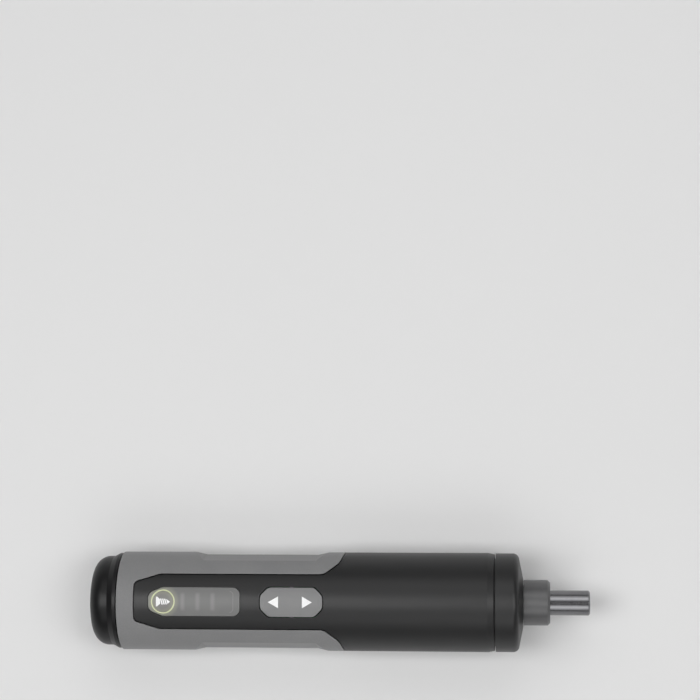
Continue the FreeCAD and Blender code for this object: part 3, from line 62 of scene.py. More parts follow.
def startTree(name):
    material = bpy.data.materials.new(name)
    material.use_nodes = True
    tree = material.node_tree
    tree.nodes.clear()
    shader = addNode(tree, "BsdfPrincipled", (900, 0))
    out = addNode(tree, "OutputMaterial", (1200, 0))
    tree.links.new(shader.outputs["BSDF"], out.inputs["Surface"])
    place = addNode(tree, "TexCoord", (-1100, 0))
    return material, tree, shader, place.outputs["Object"]


def addNode(tree, kind, spot, values=None, **settings):
    node = tree.nodes.new("ShaderNode" + kind)
    node.location = spot
    for key, value in settings.items():
        setattr(node, key, value)
    for key, value in (values or {}).items():
        node.inputs[key].default_value = value
    return node


def noiseAt(tree, coords, size, detail, spot, stretch=None):
    if stretch:
        drawn = addNode(tree, "Mapping", (spot[0] - 200, spot[1]), {"Scale": stretch})
        tree.links.new(coords, drawn.inputs["Vector"])
        coords = drawn.outputs["Vector"]
    noise = addNode(tree, "TexNoise", spot, {"Scale": 1 / size, "Detail": detail, "Roughness": 0.55})
    tree.links.new(coords, noise.inputs["Vector"])
    return noise.outputs["Fac"]


def splitCoords(tree, coords, spot):
    split = addNode(tree, "SeparateXYZ", spot)
    tree.links.new(coords, split.inputs[0])
    return split.outputs


def rangeOf(tree, value, fromLow, fromHigh, toLow, toHigh, spot):
    node = addNode(tree, "MapRange", spot, {"From Min": fromLow, "From Max": fromHigh,
                                            "To Min": toLow, "To Max": toHigh})
    tree.links.new(value, node.inputs["Value"])
    return node.outputs["Result"]


def mathOf(tree, operation, first, second, spot):
    node = addNode(tree, "Math", spot, operation=operation)
    for entry, value in ((0, first), (1, second)):
        if isinstance(value, (int, float)):
            node.inputs[entry].default_value = value
        else:
            tree.links.new(value, node.inputs[entry])
    return node.outputs[0]


def mixTone(tree, factor, first, second, spot):
    node = addNode(tree, "Mix", spot, data_type="RGBA")
    tree.links.new(factor, node.inputs[0])
    for entry, value in ((6, first), (7, second)):  # the node's two colour sockets
        if isinstance(value, tuple):
            node.inputs[entry].default_value = value
        else:
            tree.links.new(value, node.inputs[entry])
    return node.outputs[2]


def cloudTone(tree, cloud, look, spot):  # drifts between the look's shade and its tone
    drift = rangeOf(tree, cloud, *cloudSpan, 0.0, 1.0, (spot[0] - 300, spot[1]))
    return mixTone(tree, drift, linearTone(look["shade"]), linearTone(look["tone"]), spot)


def blendOf(tree, first, second, share, spot):  # two noises added up, the first by its share
    parts = [mathOf(tree, "MULTIPLY", first, share, spot),
             mathOf(tree, "MULTIPLY", second, 1 - share, (spot[0], spot[1] - 150))]
    return mathOf(tree, "ADD", *parts, (spot[0] + 200, spot[1]))


def roughFrom(tree, shader, value, span, look, spot):
    rough = rangeOf(tree, value, *span, look["roughLow"], look["roughHigh"], spot)
    tree.links.new(rough, shader.inputs["Roughness"])


def bumpFrom(tree, shader, height, depth, normal, spot):
    node = addNode(tree, "Bump", spot, {"Strength": 1.0, "Distance": depth})
    tree.links.new(height, node.inputs["Height"])
    if normal:
        tree.links.new(normal, node.inputs["Normal"])
    tree.links.new(node.outputs["Normal"], shader.inputs["Normal"])


def softEdges(tree, radius, spot):  # rounded corners, and a mask of where hands rub them
    rounded = addNode(tree, "Bevel", spot, {"Radius": radius}, samples=edgeRub["samples"])
    plain = addNode(tree, "NewGeometry", (spot[0], spot[1] - 150))
    turn = addNode(tree, "VectorMath", (spot[0] + 200, spot[1]), operation="DOT_PRODUCT")
    tree.links.new(rounded.outputs["Normal"], turn.inputs[0])
    tree.links.new(plain.outputs["Normal"], turn.inputs[1])
    mask = rangeOf(tree, turn.outputs["Value"], edgeRub["start"], edgeRub["full"], 0.0, 1.0,
                   (spot[0] + 400, spot[1]))
    return rounded.outputs["Normal"], mask


def paintedBarGlow(tree, split, bars, spot):  # the row of lit bars, their glow painted into the colour, soft at flanks and tips
    x, y = spot
    run = mathOf(tree, "SUBTRACT", split["X"], rearEnd + bars["first"] / perMetre, spot)
    phase = mathOf(tree, "PINGPONG", run, bars["pitch"] / 2 / perMetre, (x + 200, y))
    across = mathOf(tree, "ABSOLUTE", split["Y"], 0.0, (x, y - 150))
    flank = rangeOf(tree, phase, bars["core"] / perMetre, bars["fade"] / perMetre, 1.0, 0.0, (x + 400, y))
    tips = rangeOf(tree, across, bars["tipCore"] / perMetre, bars["tipFade"] / perMetre, 1.0, 0.0,
                   (x + 400, y - 150))
    return mathOf(tree, "MULTIPLY", flank, tips, (x + 600, y))


def mouldedFinish(name, look):  # injection-moulded plastic: spark grain, flow clouds, rubbed edges
    material, tree, shader, coords = startTree(name)
    grain = noiseAt(tree, coords, look["grainSize"], 3, (-700, -300))
    cloud = noiseAt(tree, coords, look["cloudSize"], 2, (-700, 100))
    streak = noiseAt(tree, coords, look["cloudSize"] * flow["width"], 4, (-700, 300),
                     (flow["drawn"], 1.0, 1.0))
    rounded, rubbed = softEdges(tree, look["edgeRadius"], (-900, -600))
    patchy = rangeOf(tree, streak, *blendSpan, flow["leastRub"], 1.0, (-300, 300))
    worn = mathOf(tree, "MULTIPLY", rubbed, patchy, (-100, 300))
    body = cloudTone(tree, cloud, look, (0, 100))
    body = mixTone(tree, worn, body, linearTone(look["rubTone"]), (250, 200))
    tree.links.new(body, shader.inputs["Base Color"])
    blend = blendOf(tree, cloud, streak, flow["cloudShare"], (-300, -100))
    roughFrom(tree, shader, blend, blendSpan, look, (100, -100))
    bumpFrom(tree, shader, grain, look["grainDepth"], rounded, (500, -300))
    shader.inputs["Specular IOR Level"].default_value = look["shine"]
    return material


def rubberFinish(name, look):  # soft-touch over-moulding: pebbled skin, paler where it is handled
    material, tree, shader, coords = startTree(name)
    pebble = addNode(tree, "TexVoronoi", (-700, -300),
                     {"Scale": 1 / look["pebbleSize"], "Randomness": look["pebbleJitter"]})
    tree.links.new(coords, pebble.inputs["Vector"])
    dust = noiseAt(tree, coords, look["dustSize"], 3, (-700, -500))
    cloud = noiseAt(tree, coords, look["cloudSize"], 3, (-700, 100))
    rounded, rubbed = softEdges(tree, look["edgeRadius"], (-900, -750))
    pits = rangeOf(tree, pebble.outputs["Distance"], 0.0, look["pitReach"], 0.0, look["pitShare"],
                   (-300, -150))
    worn = mathOf(tree, "MULTIPLY", rubbed, look["rubShare"], (0, 300))
    body = cloudTone(tree, cloud, look, (0, 100))
    body = mixTone(tree, pits, body, linearTone(look["pitTone"]), (200, 100))
    body = mixTone(tree, worn, body, linearTone(look["rubTone"]), (400, 200))
    tree.links.new(body, shader.inputs["Base Color"])
    roughFrom(tree, shader, cloud, cloudSpan, look, (100, -100))
    fine = mathOf(tree, "MULTIPLY", dust, look["dustShare"], (-300, -500))
    skin = mathOf(tree, "ADD", pebble.outputs["Distance"], fine, (-100, -350))
    bumpFrom(tree, shader, skin, look["pebbleDepth"], rounded, (500, -300))
    shader.inputs["Specular IOR Level"].default_value = look["shine"]
    shader.inputs["Sheen Weight"].default_value = look["sheen"]
    shader.inputs["Sheen Roughness"].default_value = look["sheenRough"]
    return material


def turnedFinish(name, look):  # machined metal: turning rings round the tool's axis, bright corners
    material, tree, shader, coords = startTree(name)
    split = splitCoords(tree, coords, (-900, -200))
    rings = addNode(tree, "TexNoise", (-700, -200), {"Scale": 1 / look["ringPitch"], "Detail": 3},
                    noise_dimensions="1D")
    tree.links.new(split["X"], rings.inputs["W"])
    film = noiseAt(tree, coords, look["filmSize"], 3, (-700, 100))
    rounded, rubbed = softEdges(tree, look["edgeRadius"], (-900, -600))
    body = cloudTone(tree, film, look, (0, 100))
    body = mixTone(tree, rubbed, body, linearTone(look["rubTone"]), (250, 200))
    tree.links.new(body, shader.inputs["Base Color"])
    blend = blendOf(tree, film, rings.outputs["Fac"], look["filmShare"], (-300, -50))
    roughFrom(tree, shader, blend, blendSpan, look, (100, -100))
    bumpFrom(tree, shader, rings.outputs["Fac"], look["ringDepth"], rounded, (500, -300))
    shader.inputs["Metallic"].default_value = 1.0
    return material


def boardFinish(name, look):  # solder mask over copper runs
    material, tree, shader, coords = startTree(name)
    runs = addNode(tree, "TexBrick", (-700, 0),
                   {"Scale": 1 / look["runPitch"], "Mortar Size": look["runWidth"],
                    "Brick Width": look["runLength"], "Row Height": look["runSpacing"]})
    tree.links.new(coords, runs.inputs["Vector"])
    cloud = noiseAt(tree, coords, look["cloudSize"], 2, (-700, 300))
    drift = rangeOf(tree, cloud, *cloudSpan, 0.0, look["cloudShare"], (-300, 300))
    body = mixTone(tree, runs.outputs["Fac"], linearTone(look["tone"]), linearTone(look["runTone"]), (0, 100))
    body = mixTone(tree, drift, body, linearTone(look["shade"]), (250, 100))
    tree.links.new(body, shader.inputs["Base Color"])
    roughFrom(tree, shader, cloud, cloudSpan, look, (100, -100))
    bumpFrom(tree, shader, runs.outputs["Fac"], look["runDepth"], None, (500, -300))
    return material


def litFinish(name, look, bars=None):  # diffuser over a lamp, uneven like a moulded light guide
    material, tree, shader, coords = startTree(name)
    cloud = noiseAt(tree, coords, look["cloudSize"], 2, (-700, 100))
    glow = rangeOf(tree, cloud, *glowSpan, look["glowLow"], look["glowHigh"], (-200, 100))
    if bars:
        # the bars' glow is painted into the base colour
        row = paintedBarGlow(tree, splitCoords(tree, coords, (-900, -200)), bars, (-700, -200))
        glow = mathOf(tree, "MULTIPLY", glow, row, (100, -100))
    body = mixTone(tree, glow, linearTone(look["shade"]), linearTone(look["tone"]), (300, 100))
    tree.links.new(body, shader.inputs["Base Color"])
    roughFrom(tree, shader, cloud, cloudSpan, look, (300, -200))
    if look["power"]:
        shader.inputs["Emission Color"].default_value = linearTone(look["tone"])
        strength = mathOf(tree, "MULTIPLY", glow, look["power"], (600, -200))
        tree.links.new(strength, shader.inputs["Emission Strength"])
    return material


def screenFinish(name, look, bars=None):  # smoked window, with the ring's light spill painted into its colour
    material, tree, shader, coords = startTree(name)
    split = splitCoords(tree, coords, (-900, 0))
    along = mathOf(tree, "SUBTRACT", split["X"], rearEnd + look["ringSpot"] / perMetre, (-700, 100))
    squares = [mathOf(tree, "MULTIPLY", along, along, (-500, 100)),
               mathOf(tree, "MULTIPLY", split["Y"], split["Y"], (-500, -50))]
    gap = mathOf(tree, "SQRT", mathOf(tree, "ADD", *squares, (-300, 0)), 0.0, (-100, 0))
    # painted glow: lighter near the ring, standing in for the ring's light spreading into the window
    spill = rangeOf(tree, gap, look["ringRadius"] / perMetre, (look["ringRadius"] + look["spill"]) / perMetre,
                    look["paintedSpillPeak"], 0.0, (100, 0))
    cloud = noiseAt(tree, coords, look["cloudSize"], 2, (-700, 350))
    grain = noiseAt(tree, coords, look["grainSize"], 3, (-700, -350))
    rounded, rubbed = softEdges(tree, look["edgeRadius"], (-900, -900))
    body = cloudTone(tree, cloud, look, (0, 350))
    body = mixTone(tree, spill, body, linearTone(look["paintedSpillTone"]), (300, 200))
    if bars:
        # painted glow of the lit bars under the film
        row = paintedBarGlow(tree, split, bars, (-700, -600))
        body = mixTone(tree, row, body, linearTone(bars["tone"]), (400, 0))
    body = mixTone(tree, rubbed, body, linearTone(look["rubTone"]), (500, 200))
    tree.links.new(body, shader.inputs["Base Color"])
    roughFrom(tree, shader, cloud, cloudSpan, look, (300, -100))
    bumpFrom(tree, shader, grain, look["grainDepth"], rounded, (600, -300))
    shader.inputs["Specular IOR Level"].default_value = look["shine"]
    return material


barrelLook = {"tone": (10, 10, 11), "shade": (8, 8, 9), "rubTone": (42, 42, 44), "shine": 0.54,
              "roughLow": 0.4, "roughHigh": 0.46, "grainSize": 0.00035, "grainDepth": 0.000006,
              "cloudSize": 0.02, "edgeRadius": 0.00025}
rearCapLook = {"tone": (6, 6, 7), "shade": (5, 5, 6), "rubTone": (40, 40, 42), "shine": 0.34,
               "roughLow": 0.36, "roughHigh": 0.43, "grainSize": 0.0006, "grainDepth": 0.000002,
               "cloudSize": 0.012, "edgeRadius": 0.00025}
frontCapLook = {"tone": (11, 11, 12), "shade": (9, 9, 10), "rubTone": (44, 44, 46), "shine": 0.56,
                "roughLow": 0.38, "roughHigh": 0.44, "grainSize": 0.00035, "grainDepth": 0.000006,
                "cloudSize": 0.014, "edgeRadius": 0.0003}
collarLook = {"tone": (78, 78, 79), "shade": (70, 70, 71), "rubTone": (98, 98, 99), "shine": 0.9,
              "roughLow": 0.34, "roughHigh": 0.4, "grainSize": 0.0003, "grainDepth": 0.000004,
              "cloudSize": 0.006, "edgeRadius": 0.0003}
gripLook = {"tone": (136, 136, 136), "shade": (129, 129, 130), "rubTone": (158, 158, 158), "shine": 0.4,
            "roughLow": 0.62, "roughHigh": 0.74, "cloudSize": 0.016, "edgeRadius": 0.0003,
            "pebbleSize": 0.0005, "pebbleDepth": 0.00002, "pebbleJitter": 0.9, "dustSize": 0.00025,
            "dustShare": 0.5, "pitTone": (116, 116, 117), "pitReach": 0.6, "pitShare": 0.35,
            "rubShare": 0.6, "sheen": 0.14, "sheenRough": 0.5}
# the spill entries paint the ring's light into the window's colour
windowLook = {"tone": (121, 121, 120), "shade": (116, 116, 116), "rubTone": (150, 150, 149), "shine": 0.3,
              "roughLow": 0.34, "roughHigh": 0.42, "grainSize": 0.0005, "grainDepth": 0.000002,
              "cloudSize": 0.01, "edgeRadius": 0.0002, "ringSpot": 28.2, "ringRadius": 4.3,
              "spill": 1.9, "paintedSpillPeak": 0.8, "paintedSpillTone": (150, 151, 136)}
# the button gets the ring's light painted inside its rim, as the window does round it
buttonLook = dict(windowLook, tone=(130, 129, 126), shade=(124, 123, 121), ringRadius=3.95, spill=-1.6)
rockerLook = {"tone": (130, 130, 130), "shade": (124, 124, 125), "rubTone": (152, 152, 152), "shine": 0.45,
              "roughLow": 0.4, "roughHigh": 0.5, "grainSize": 0.0004, "grainDepth": 0.000004,
              "cloudSize": 0.01, "edgeRadius": 0.0003}
bellLook = dict(barrelLook, tone=(48, 46, 43), shade=(40, 39, 37), cloudSize=0.008)
switchLook = dict(barrelLook, tone=(22, 22, 23), shade=(18, 18, 18), cloudSize=0.004)
redLook = dict(rockerLook, tone=(168, 30, 26), shade=(140, 22, 20), rubTone=(190, 70, 60), cloudSize=0.003)
blueLook = dict(rockerLook, tone=(34, 60, 138), shade=(26, 46, 112), rubTone=(80, 100, 170), cloudSize=0.003)
sleeveLook = dict(rockerLook, tone=(46, 104, 150), shade=(36, 86, 128), rubTone=(100, 150, 186),
                  cloudSize=0.02, roughLow=0.24, roughHigh=0.36)
ringLook = {"tone": (206, 211, 172), "shade": (176, 181, 146), "cloudSize": 0.002, "roughLow": 0.32,
            "roughHigh": 0.42, "glowLow": 0.75, "glowHigh": 1.0, "power": 0.12}
barRow = {"first": 35.4, "pitch": 5.5}
# the bars are lighter by painted glow; they give no light
barLook = dict(ringLook, tone=(150, 150, 149), shade=(121, 121, 121), cloudSize=0.003, power=0.0)
barEdges = dict(barRow, core=0.0, fade=1.0, tipCore=1.6, tipFade=3.4)
lampLook = dict(ringLook, tone=(236, 236, 228), shade=(206, 206, 196), cloudSize=0.001, glowLow=0.6, power=0.2)
spindleLook = {"tone": (126, 126, 128), "shade": (116, 116, 118), "rubTone": (160, 160, 162),
               "roughLow": 0.17, "roughHigh": 0.2, "ringPitch": 0.00022, "ringDepth": 0.00000012,
               "filmSize": 0.006, "filmShare": 0.5, "edgeRadius": 0.0002}
gearLook = dict(spindleLook, tone=(150, 148, 145), shade=(128, 126, 124), roughLow=0.26, roughHigh=0.4)
screwLook = dict(spindleLook, tone=(92, 92, 94), shade=(76, 76, 78), roughLow=0.28, roughHigh=0.42)
socketLook = dict(spindleLook, tone=(196, 196, 196), shade=(178, 178, 179), ringPitch=0.0006,
                  roughLow=0.2, roughHigh=0.34)
canLook = dict(spindleLook, tone=(182, 184, 186), shade=(160, 162, 165), ringPitch=0.0009,
               roughLow=0.28, roughHigh=0.42)
brassLook = dict(spindleLook, tone=(206, 172, 98), shade=(184, 148, 78), rubTone=(226, 198, 132))
alloyLook = dict(spindleLook, tone=(168, 170, 172), shade=(146, 148, 150), ringPitch=0.0007,
                 roughLow=0.4, roughHigh=0.56)
bronzeLook = dict(spindleLook, tone=(168, 122, 76), shade=(140, 98, 58), rubTone=(196, 152, 104),
                  roughLow=0.34, roughHigh=0.5)
magnetLook = dict(spindleLook, tone=(206, 204, 200), shade=(190, 188, 184), roughLow=0.1, roughHigh=0.2)
boardLook = {"tone": (24, 84, 48), "shade": (18, 64, 38), "runTone": (52, 122, 74), "runPitch": 0.0042,
             "runWidth": 0.06, "runLength": 0.9, "runSpacing": 0.22, "runDepth": 0.00003,
             "cloudSize": 0.004, "cloudShare": 0.3, "roughLow": 0.3, "roughHigh": 0.42}

finishes = {  # one for each material slot of the solids
    "black_plastic": mouldedFinish("barrelBlack", barrelLook),
    "grip_grey": rubberFinish("gripRubber", gripLook),
    "cap_black": mouldedFinish("rearCapGloss", rearCapLook),
    "cap_satin": mouldedFinish("frontCapSatin", frontCapLook),
    "collar_grey": mouldedFinish("collarGrey", collarLook),
    "window_grey": screenFinish("smokedWindow", windowLook),
    "ring_light": litFinish("litRing", ringLook),
    "bar_light": litFinish("chargeBars", barLook, barEdges),
    "button_grey": screenFinish("buttonCap", buttonLook),
    "rocker_grey": mouldedFinish("rockerGrey", rockerLook),
    "board_green": boardFinish("solderMask", boardLook),
    "switch_black": mouldedFinish("switchBlack", switchLook),
    "lamp_white": litFinish("lampChip", lampLook),
    "screw_steel": turnedFinish("screwSteel", screwLook),
    "socket_steel": turnedFinish("socketShell", socketLook),
    "lead_red": mouldedFinish("leadRed", redLook),
    "lead_blue": mouldedFinish("leadBlue", blueLook),
    "cell_wrap": mouldedFinish("cellSleeve", sleeveLook),
    "motor_steel": turnedFinish("motorCan", canLook),
    "bell_plastic": mouldedFinish("bellPlastic", bellLook),
    "terminal_brass": turnedFinish("pinionBrass", brassLook),
    "gear_steel": turnedFinish("gearSteel", gearLook),
    "case_alloy": turnedFinish("gearCaseAlloy", alloyLook),
    "bush_bronze": turnedFinish("bushBronze", bronzeLook),
    "spindle_steel": turnedFinish("spindleSteel", spindleLook),
    "magnet_nickel": turnedFinish("magnetNickel", magnetLook),
}
for solid in nodes.values():
    for entry in solid.material_slots:
        entry.material = finishes[entry.material.name.split(".")[0]]
print("finishes:", len(finishes))

inkLook = {"tone": (250, 250, 250), "shade": (240, 240, 240), "rubTone": (226, 226, 226), "shine": 0.4,
           "roughLow": 0.4, "roughHigh": 0.5, "grainSize": 0.0004, "grainDepth": 0.000003,
           "cloudSize": 0.002, "edgeRadius": 0.00003}
printInk = mouldedFinish("printWhite", inkLook)
frameInkLook = dict(inkLook, tone=(136, 136, 135), shade=(131, 131, 130), rubTone=(136, 136, 135))
frameInk = mouldedFinish("windowPrint", frameInkLook)
inkSheet = {"sink": 0.08, "strip": 0.3, "weld": 1e-7, "above": 0.2}  # above: where the drop starts, in metres


def sheetFrom(outlines):  # flat faces at height zero
    mesh = bmesh.new()
    for outline in outlines:
        mesh.faces.new([mesh.verts.new((rearEnd + x / perMetre, y / perMetre, 0.0)) for x, y in outline])
    return mesh


def cutStrips(mesh, start, end, step):  # strips across the barrel, so the sheet follows its curve
    while start < end:
        bmesh.ops.bisect_plane(mesh, geom=mesh.verts[:] + mesh.edges[:] + mesh.faces[:], dist=1e-8,
                               plane_co=(0, start / perMetre, 0), plane_no=(0, 1, 0))
        start += step


def thicken(mesh, height):
    raised = bmesh.ops.extrude_face_region(mesh, geom=mesh.faces[:], use_keep_orig=True)
    for part in raised["geom"]:
        if isinstance(part, bmesh.types.BMVert):
            part.co.z += height
    bmesh.ops.recalc_face_normals(mesh, faces=mesh.faces[:])


def meshPiece(name, mesh, finish):
    data = bpy.data.meshes.new(name)
    mesh.to_mesh(data)
    mesh.free()
    data.materials.append(finish)
    piece = bpy.data.objects.new(name, data)
    bpy.context.scene.collection.objects.link(piece)
    return piece


def layPrint(name, outlines, carrier, body, ink, lift):  # pad print laid on a moulded face
    source = nodes[carrier].data
    face = BVHTree.FromPolygons([v.co.copy() for v in source.vertices], [p.vertices[:] for p in source.polygons])
    mesh = sheetFrom(outlines)
    bmesh.ops.remove_doubles(mesh, verts=mesh.verts[:], dist=inkSheet["weld"])  # neighbours become one print
    reach = max(abs(y) for outline in outlines for x, y in outline)
    cutStrips(mesh, -reach, reach, inkSheet["strip"])
    for vert in mesh.verts:
        hit = face.ray_cast(Vector((vert.co.x, vert.co.y, inkSheet["above"])), Vector((0, 0, -1)))[0]
        vert.co.z = hit.z - inkSheet["sink"] / perMetre
    thicken(mesh, (inkSheet["sink"] + lift) / perMetre)
    piece = meshPiece(name, mesh, ink)
    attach(piece, body)


arrows = {"backTip": 66.6, "backBase": 70.35, "frontBase": 79.0, "frontTip": 82.6, "half": 2.1, "lift": 0.006}
layPrint("directionArrows", [
    [(arrows["backTip"], 0), (arrows["backBase"], -arrows["half"]), (arrows["backBase"], arrows["half"])],
    [(arrows["frontTip"], 0), (arrows["frontBase"], arrows["half"]), (arrows["frontBase"], -arrows["half"])],
], "direction_rocker", "rocker", printInk, arrows["lift"])

# places along the screw sign count from the button's centre
screwMark = {"centre": 28.2, "headBack": -2.5, "headLip": -2.05, "headHalf": 1.75, "neck": -0.95,
             "neckHalf": 0.8, "threads": ((-0.72, 1.08), (0.02, 1.05), (0.76, 1.0)), "threadWidth": 0.5,
             "threadLean": 0.3, "tipBase": 1.5, "tip": 2.7, "tipHalf": 0.9, "tipLean": 0.27, "lift": 0.006}
headHalf, neckHalf, tipHalf = screwMark["headHalf"], screwMark["neckHalf"], screwMark["tipHalf"]
markShapes = [[(screwMark["headBack"], headHalf), (screwMark["headBack"], -headHalf),
               (screwMark["headLip"], -headHalf), (screwMark["neck"], -neckHalf),
               (screwMark["neck"], neckHalf), (screwMark["headLip"], headHalf)]]
for start, half in screwMark["threads"]:  # leaning thread turns
    low, high = start + screwMark["threadLean"], start - screwMark["threadLean"]
    markShapes.append([(low, -half), (low + screwMark["threadWidth"], -half),
                       (high + screwMark["threadWidth"], half), (high, half)])
markShapes.append([(screwMark["tipBase"] + screwMark["tipLean"], -tipHalf), (screwMark["tip"], 0),
                   (screwMark["tipBase"] - screwMark["tipLean"], tipHalf)])
markOutlines = [[(screwMark["centre"] + x, y) for x, y in shape] for shape in markShapes]
layPrint("screwMark", markOutlines, "mode_button", "button", printInk, screwMark["lift"])

# the film carries the bars' painted glow, its tone at each bar's middle
barFilm = dict(barRow, count=3, half=1.35, reach=3.8, corner=0.5, cornerStep=15, axisHeight=18.0, radius=18.05,
               sink=0.02, lift=0.012, strip=0.4, crease=0.5, core=0.25, fade=1.15, tipCore=2.5, tipFade=3.6,
               tone=(134, 134, 133))
barFilmInk = screenFinish("barFilm", dict(windowLook, edgeRadius=0.000005), barFilm)


def layFilm():  # clear label over each bar's slot, on the window's own curve
    corner, rims = barFilm["corner"], []
    for place in range(barFilm["count"]):
        centre = barFilm["first"] + barFilm["pitch"] * place
        rim = []
        for turn in range(0, 360, barFilm["cornerStep"]):
            angle = math.radians(turn + barFilm["cornerStep"] / 2)
            along, across = math.cos(angle), math.sin(angle)
            rim.append((centre + math.copysign(barFilm["half"] - corner, along) + corner * along,
                        math.copysign(barFilm["reach"] - corner, across) + corner * across))
        rims.append(rim)
    mesh = sheetFrom(rims)
    cutStrips(mesh, barFilm["strip"] - barFilm["reach"], barFilm["reach"], barFilm["strip"])
    axisHeight = cadLow.z + barFilm["axisHeight"] / perMetre
    under = (barFilm["radius"] - barFilm["sink"]) / perMetre
    for vert in mesh.verts:
        vert.co.z = axisHeight + math.sqrt(under ** 2 - vert.co.y ** 2)
    thicken(mesh, (barFilm["sink"] + barFilm["lift"]) / perMetre)
    for edge in mesh.edges:
        edge.smooth = edge.calc_face_angle(0.0) < barFilm["crease"]
    for face in mesh.faces:
        face.smooth = True
    piece = meshPiece("barFilm", mesh, barFilmInk)
    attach(piece, "handle")


layFilm()

windowFrame = {"front": 54.0, "half": 3.9, "width": 0.28, "corner": 1.4, "cornerSteps": 6, "lift": 0.012}
centreX = windowFrame["front"] - windowFrame["corner"]
borderRadii = (windowFrame["corner"], windowFrame["corner"] - windowFrame["width"])
outerArc, innerArc = [], []
for side in (1, -1):  # the printed border turns round the window's front end
    centreY = side * (windowFrame["half"] - windowFrame["corner"])
    for step in range(windowFrame["cornerSteps"] + 1):
        quarter = 90 * step / windowFrame["cornerSteps"]
        turn = math.radians(quarter if side > 0 else 90 - quarter)
        for arc, radius in zip((outerArc, innerArc), borderRadii):
            arc.append((centreX + radius * math.sin(turn), centreY + side * radius * math.cos(turn)))
borderOutlines = [[outerArc[i], outerArc[i + 1], innerArc[i + 1], innerArc[i]] for i in range(len(outerArc) - 1)]
layPrint("windowBorder", borderOutlines, "display_window", "handle", frameInk, windowFrame["lift"])
print("prints: arrows, screw sign, bar film, window border")

studio = {"floorTone": (228, 228, 228), "cloudTone": (231, 231, 231), "cloudSize": 0.25, "floorRough": 0.8,
          "floorShine": 0.2, "floorReach": 14.0, "floorGap": 0.00002, "floorCells": 8,
          "fadeStart": 0.26, "fadeEnd": 0.55, "farTone": (222, 222, 222),
          "worldLevel": 0.13, "bandLow": 0.05, "bandHigh": 0.3, "boxDistance": 1.05}
sideBox = {"power": 1.6, "size": (1.1, 0.42), "lean": 40, "shift": 0.0}
noseStrip = {"power": 0.45, "size": (0.12, 0.95), "lean": 43, "shift": 0.1}
rearTopBox = {"power": 5.2, "size": (0.7, 0.44), "lean": 0, "shift": -0.43}
frontTopBox = dict(rearTopBox, power=4.6, shift=0.62)  # the gap between the two keeps the spindle's middle dark


def seenRays(tree, spot):  # 1 for what the camera sees, straight, mirrored or through glass
    path = addNode(tree, "LightPath", spot).outputs
    total = mathOf(tree, "ADD", path["Is Camera Ray"], path["Is Glossy Ray"], (spot[0] + 200, spot[1]))
    total = mathOf(tree, "ADD", total, path["Is Transmission Ray"], (spot[0] + 400, spot[1]))
    return mathOf(tree, "MINIMUM", total, 1.0, (spot[0] + 600, spot[1]))


def makeFloor():
    material, tree, shader, coords = startTree("studioFloor")
    cloud = noiseAt(tree, coords, studio["cloudSize"], 2, (-700, 100))
    body = mixTone(tree, cloud, linearTone(studio["floorTone"]), linearTone(studio["cloudTone"]), (0, 100))
    tree.links.new(body, shader.inputs["Base Color"])
    shader.inputs["Roughness"].default_value = studio["floorRough"]
    shader.inputs["Specular IOR Level"].default_value = studio["floorShine"]
    reach = addNode(tree, "VectorMath", (-700, -300), operation="LENGTH")
    tree.links.new(coords, reach.inputs[0])
    far = rangeOf(tree, reach.outputs["Value"], studio["fadeStart"], studio["fadeEnd"], 0.0, 1.0, (-400, -300))
    sheet = addNode(tree, "Emission", (700, -300), {"Color": linearTone(studio["farTone"])})
    blend = addNode(tree, "MixShader", (1050, -100))
    tree.links.new(mathOf(tree, "MULTIPLY", far, seenRays(tree, (-1100, -600)), (100, -300)), blend.inputs[0])
    tree.links.new(shader.outputs["BSDF"], blend.inputs[1])
    tree.links.new(sheet.outputs["Emission"], blend.inputs[2])
    tree.links.new(blend.outputs[0], tree.nodes["Material Output"].inputs["Surface"])
    mesh = bmesh.new()
    bmesh.ops.create_grid(mesh, x_segments=studio["floorCells"], y_segments=studio["floorCells"],
                          size=studio["floorReach"])
    floor = meshPiece("studioFloor", mesh, material)
    floor.location.z = cadLow.z - studio["floorGap"]


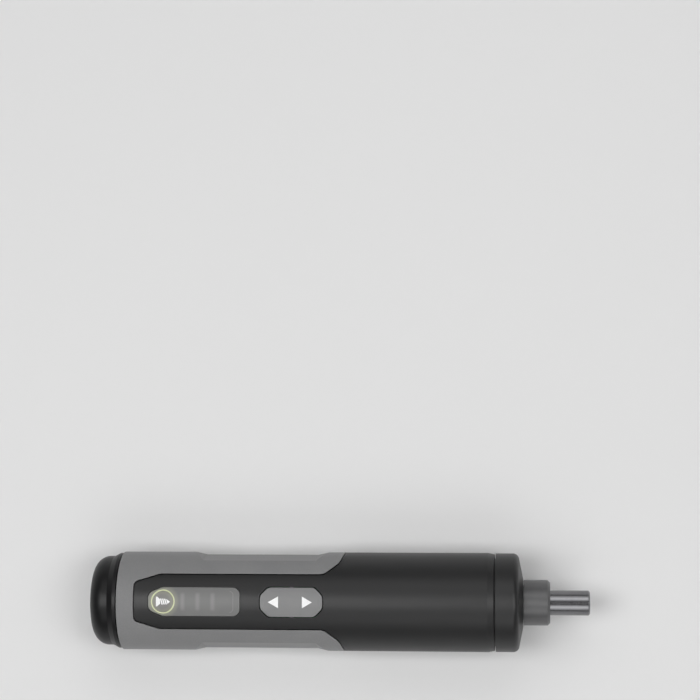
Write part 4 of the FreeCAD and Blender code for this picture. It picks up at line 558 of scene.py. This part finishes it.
def hangBox(name, look, side):  # leans from straight above the tool, towards +Y for side 1
    lamp = bpy.data.lights.new(name, "AREA")
    lamp.shape = "RECTANGLE"
    lamp.size, lamp.size_y = look["size"]
    lamp.energy = look["power"]
    box = bpy.data.objects.new(name, lamp)
    angle = math.radians(side * look["lean"])
    away = Vector((0, math.sin(angle), math.cos(angle)))
    box.location = away * studio["boxDistance"] + Vector((look["shift"], 0, 0))
    box.rotation_euler = (-angle, 0, 0)
    bpy.context.scene.collection.objects.link(box)


makeFloor()
for side in (1, -1):
    hangBox("sideBox", sideBox, side)
    hangBox("noseStrip", noseStrip, side)
for topBox in (rearTopBox, frontTopBox):
    hangBox("topBox", topBox, 1)
world = bpy.data.worlds.new("studioAir")
world.use_nodes = True
air = world.node_tree
heading = splitCoords(air, addNode(air, "TexCoord", (-900, 0)).outputs["Generated"], (-700, 0))
band = rangeOf(air, heading["Z"], studio["bandLow"], studio["bandHigh"], 1.0, 0.0, (-500, 0))
horizon = mathOf(air, "MULTIPLY", band, seenRays(air, (-1100, -300)), (-300, 0))
dim = (studio["worldLevel"], studio["worldLevel"], studio["worldLevel"], 1.0)
backdrop = mixTone(air, horizon, dim, linearTone(studio["farTone"]), (-100, 0))
air.links.new(backdrop, air.nodes["Background"].inputs["Color"])
bpy.context.scene.world = world
bpy.context.scene.view_settings.view_transform = "Standard"
print("studio: softboxes over a pale floor")

shot = {"eye": (0.0733, 0.0177, 0.7818), "aim": (0.0031, 0.0931, 0.018), "roll": 0.0042, "lens": 106.34,
        "sensor": 36.0, "clipStart": 0.01, "clipEnd": 20.0}
lens = bpy.data.cameras.new("benchCamera")
lens.sensor_width = shot["sensor"]
lens.lens = shot["lens"]
lens.clip_start, lens.clip_end = shot["clipStart"], shot["clipEnd"]
camera = bpy.data.objects.new("benchCamera", lens)
back = (Vector(shot["eye"]) - Vector(shot["aim"])).normalized()
right = Vector((0, 1, 0)).cross(back).normalized()
turned = Matrix((right, back.cross(right), back)).transposed().to_4x4() @ Matrix.Rotation(shot["roll"], 4, "Z")
camera.matrix_world = Matrix.Translation(shot["eye"]) @ turned
bpy.context.scene.collection.objects.link(camera)
bpy.context.scene.camera = camera
print("camera:", [round(v, 4) for v in camera.location])
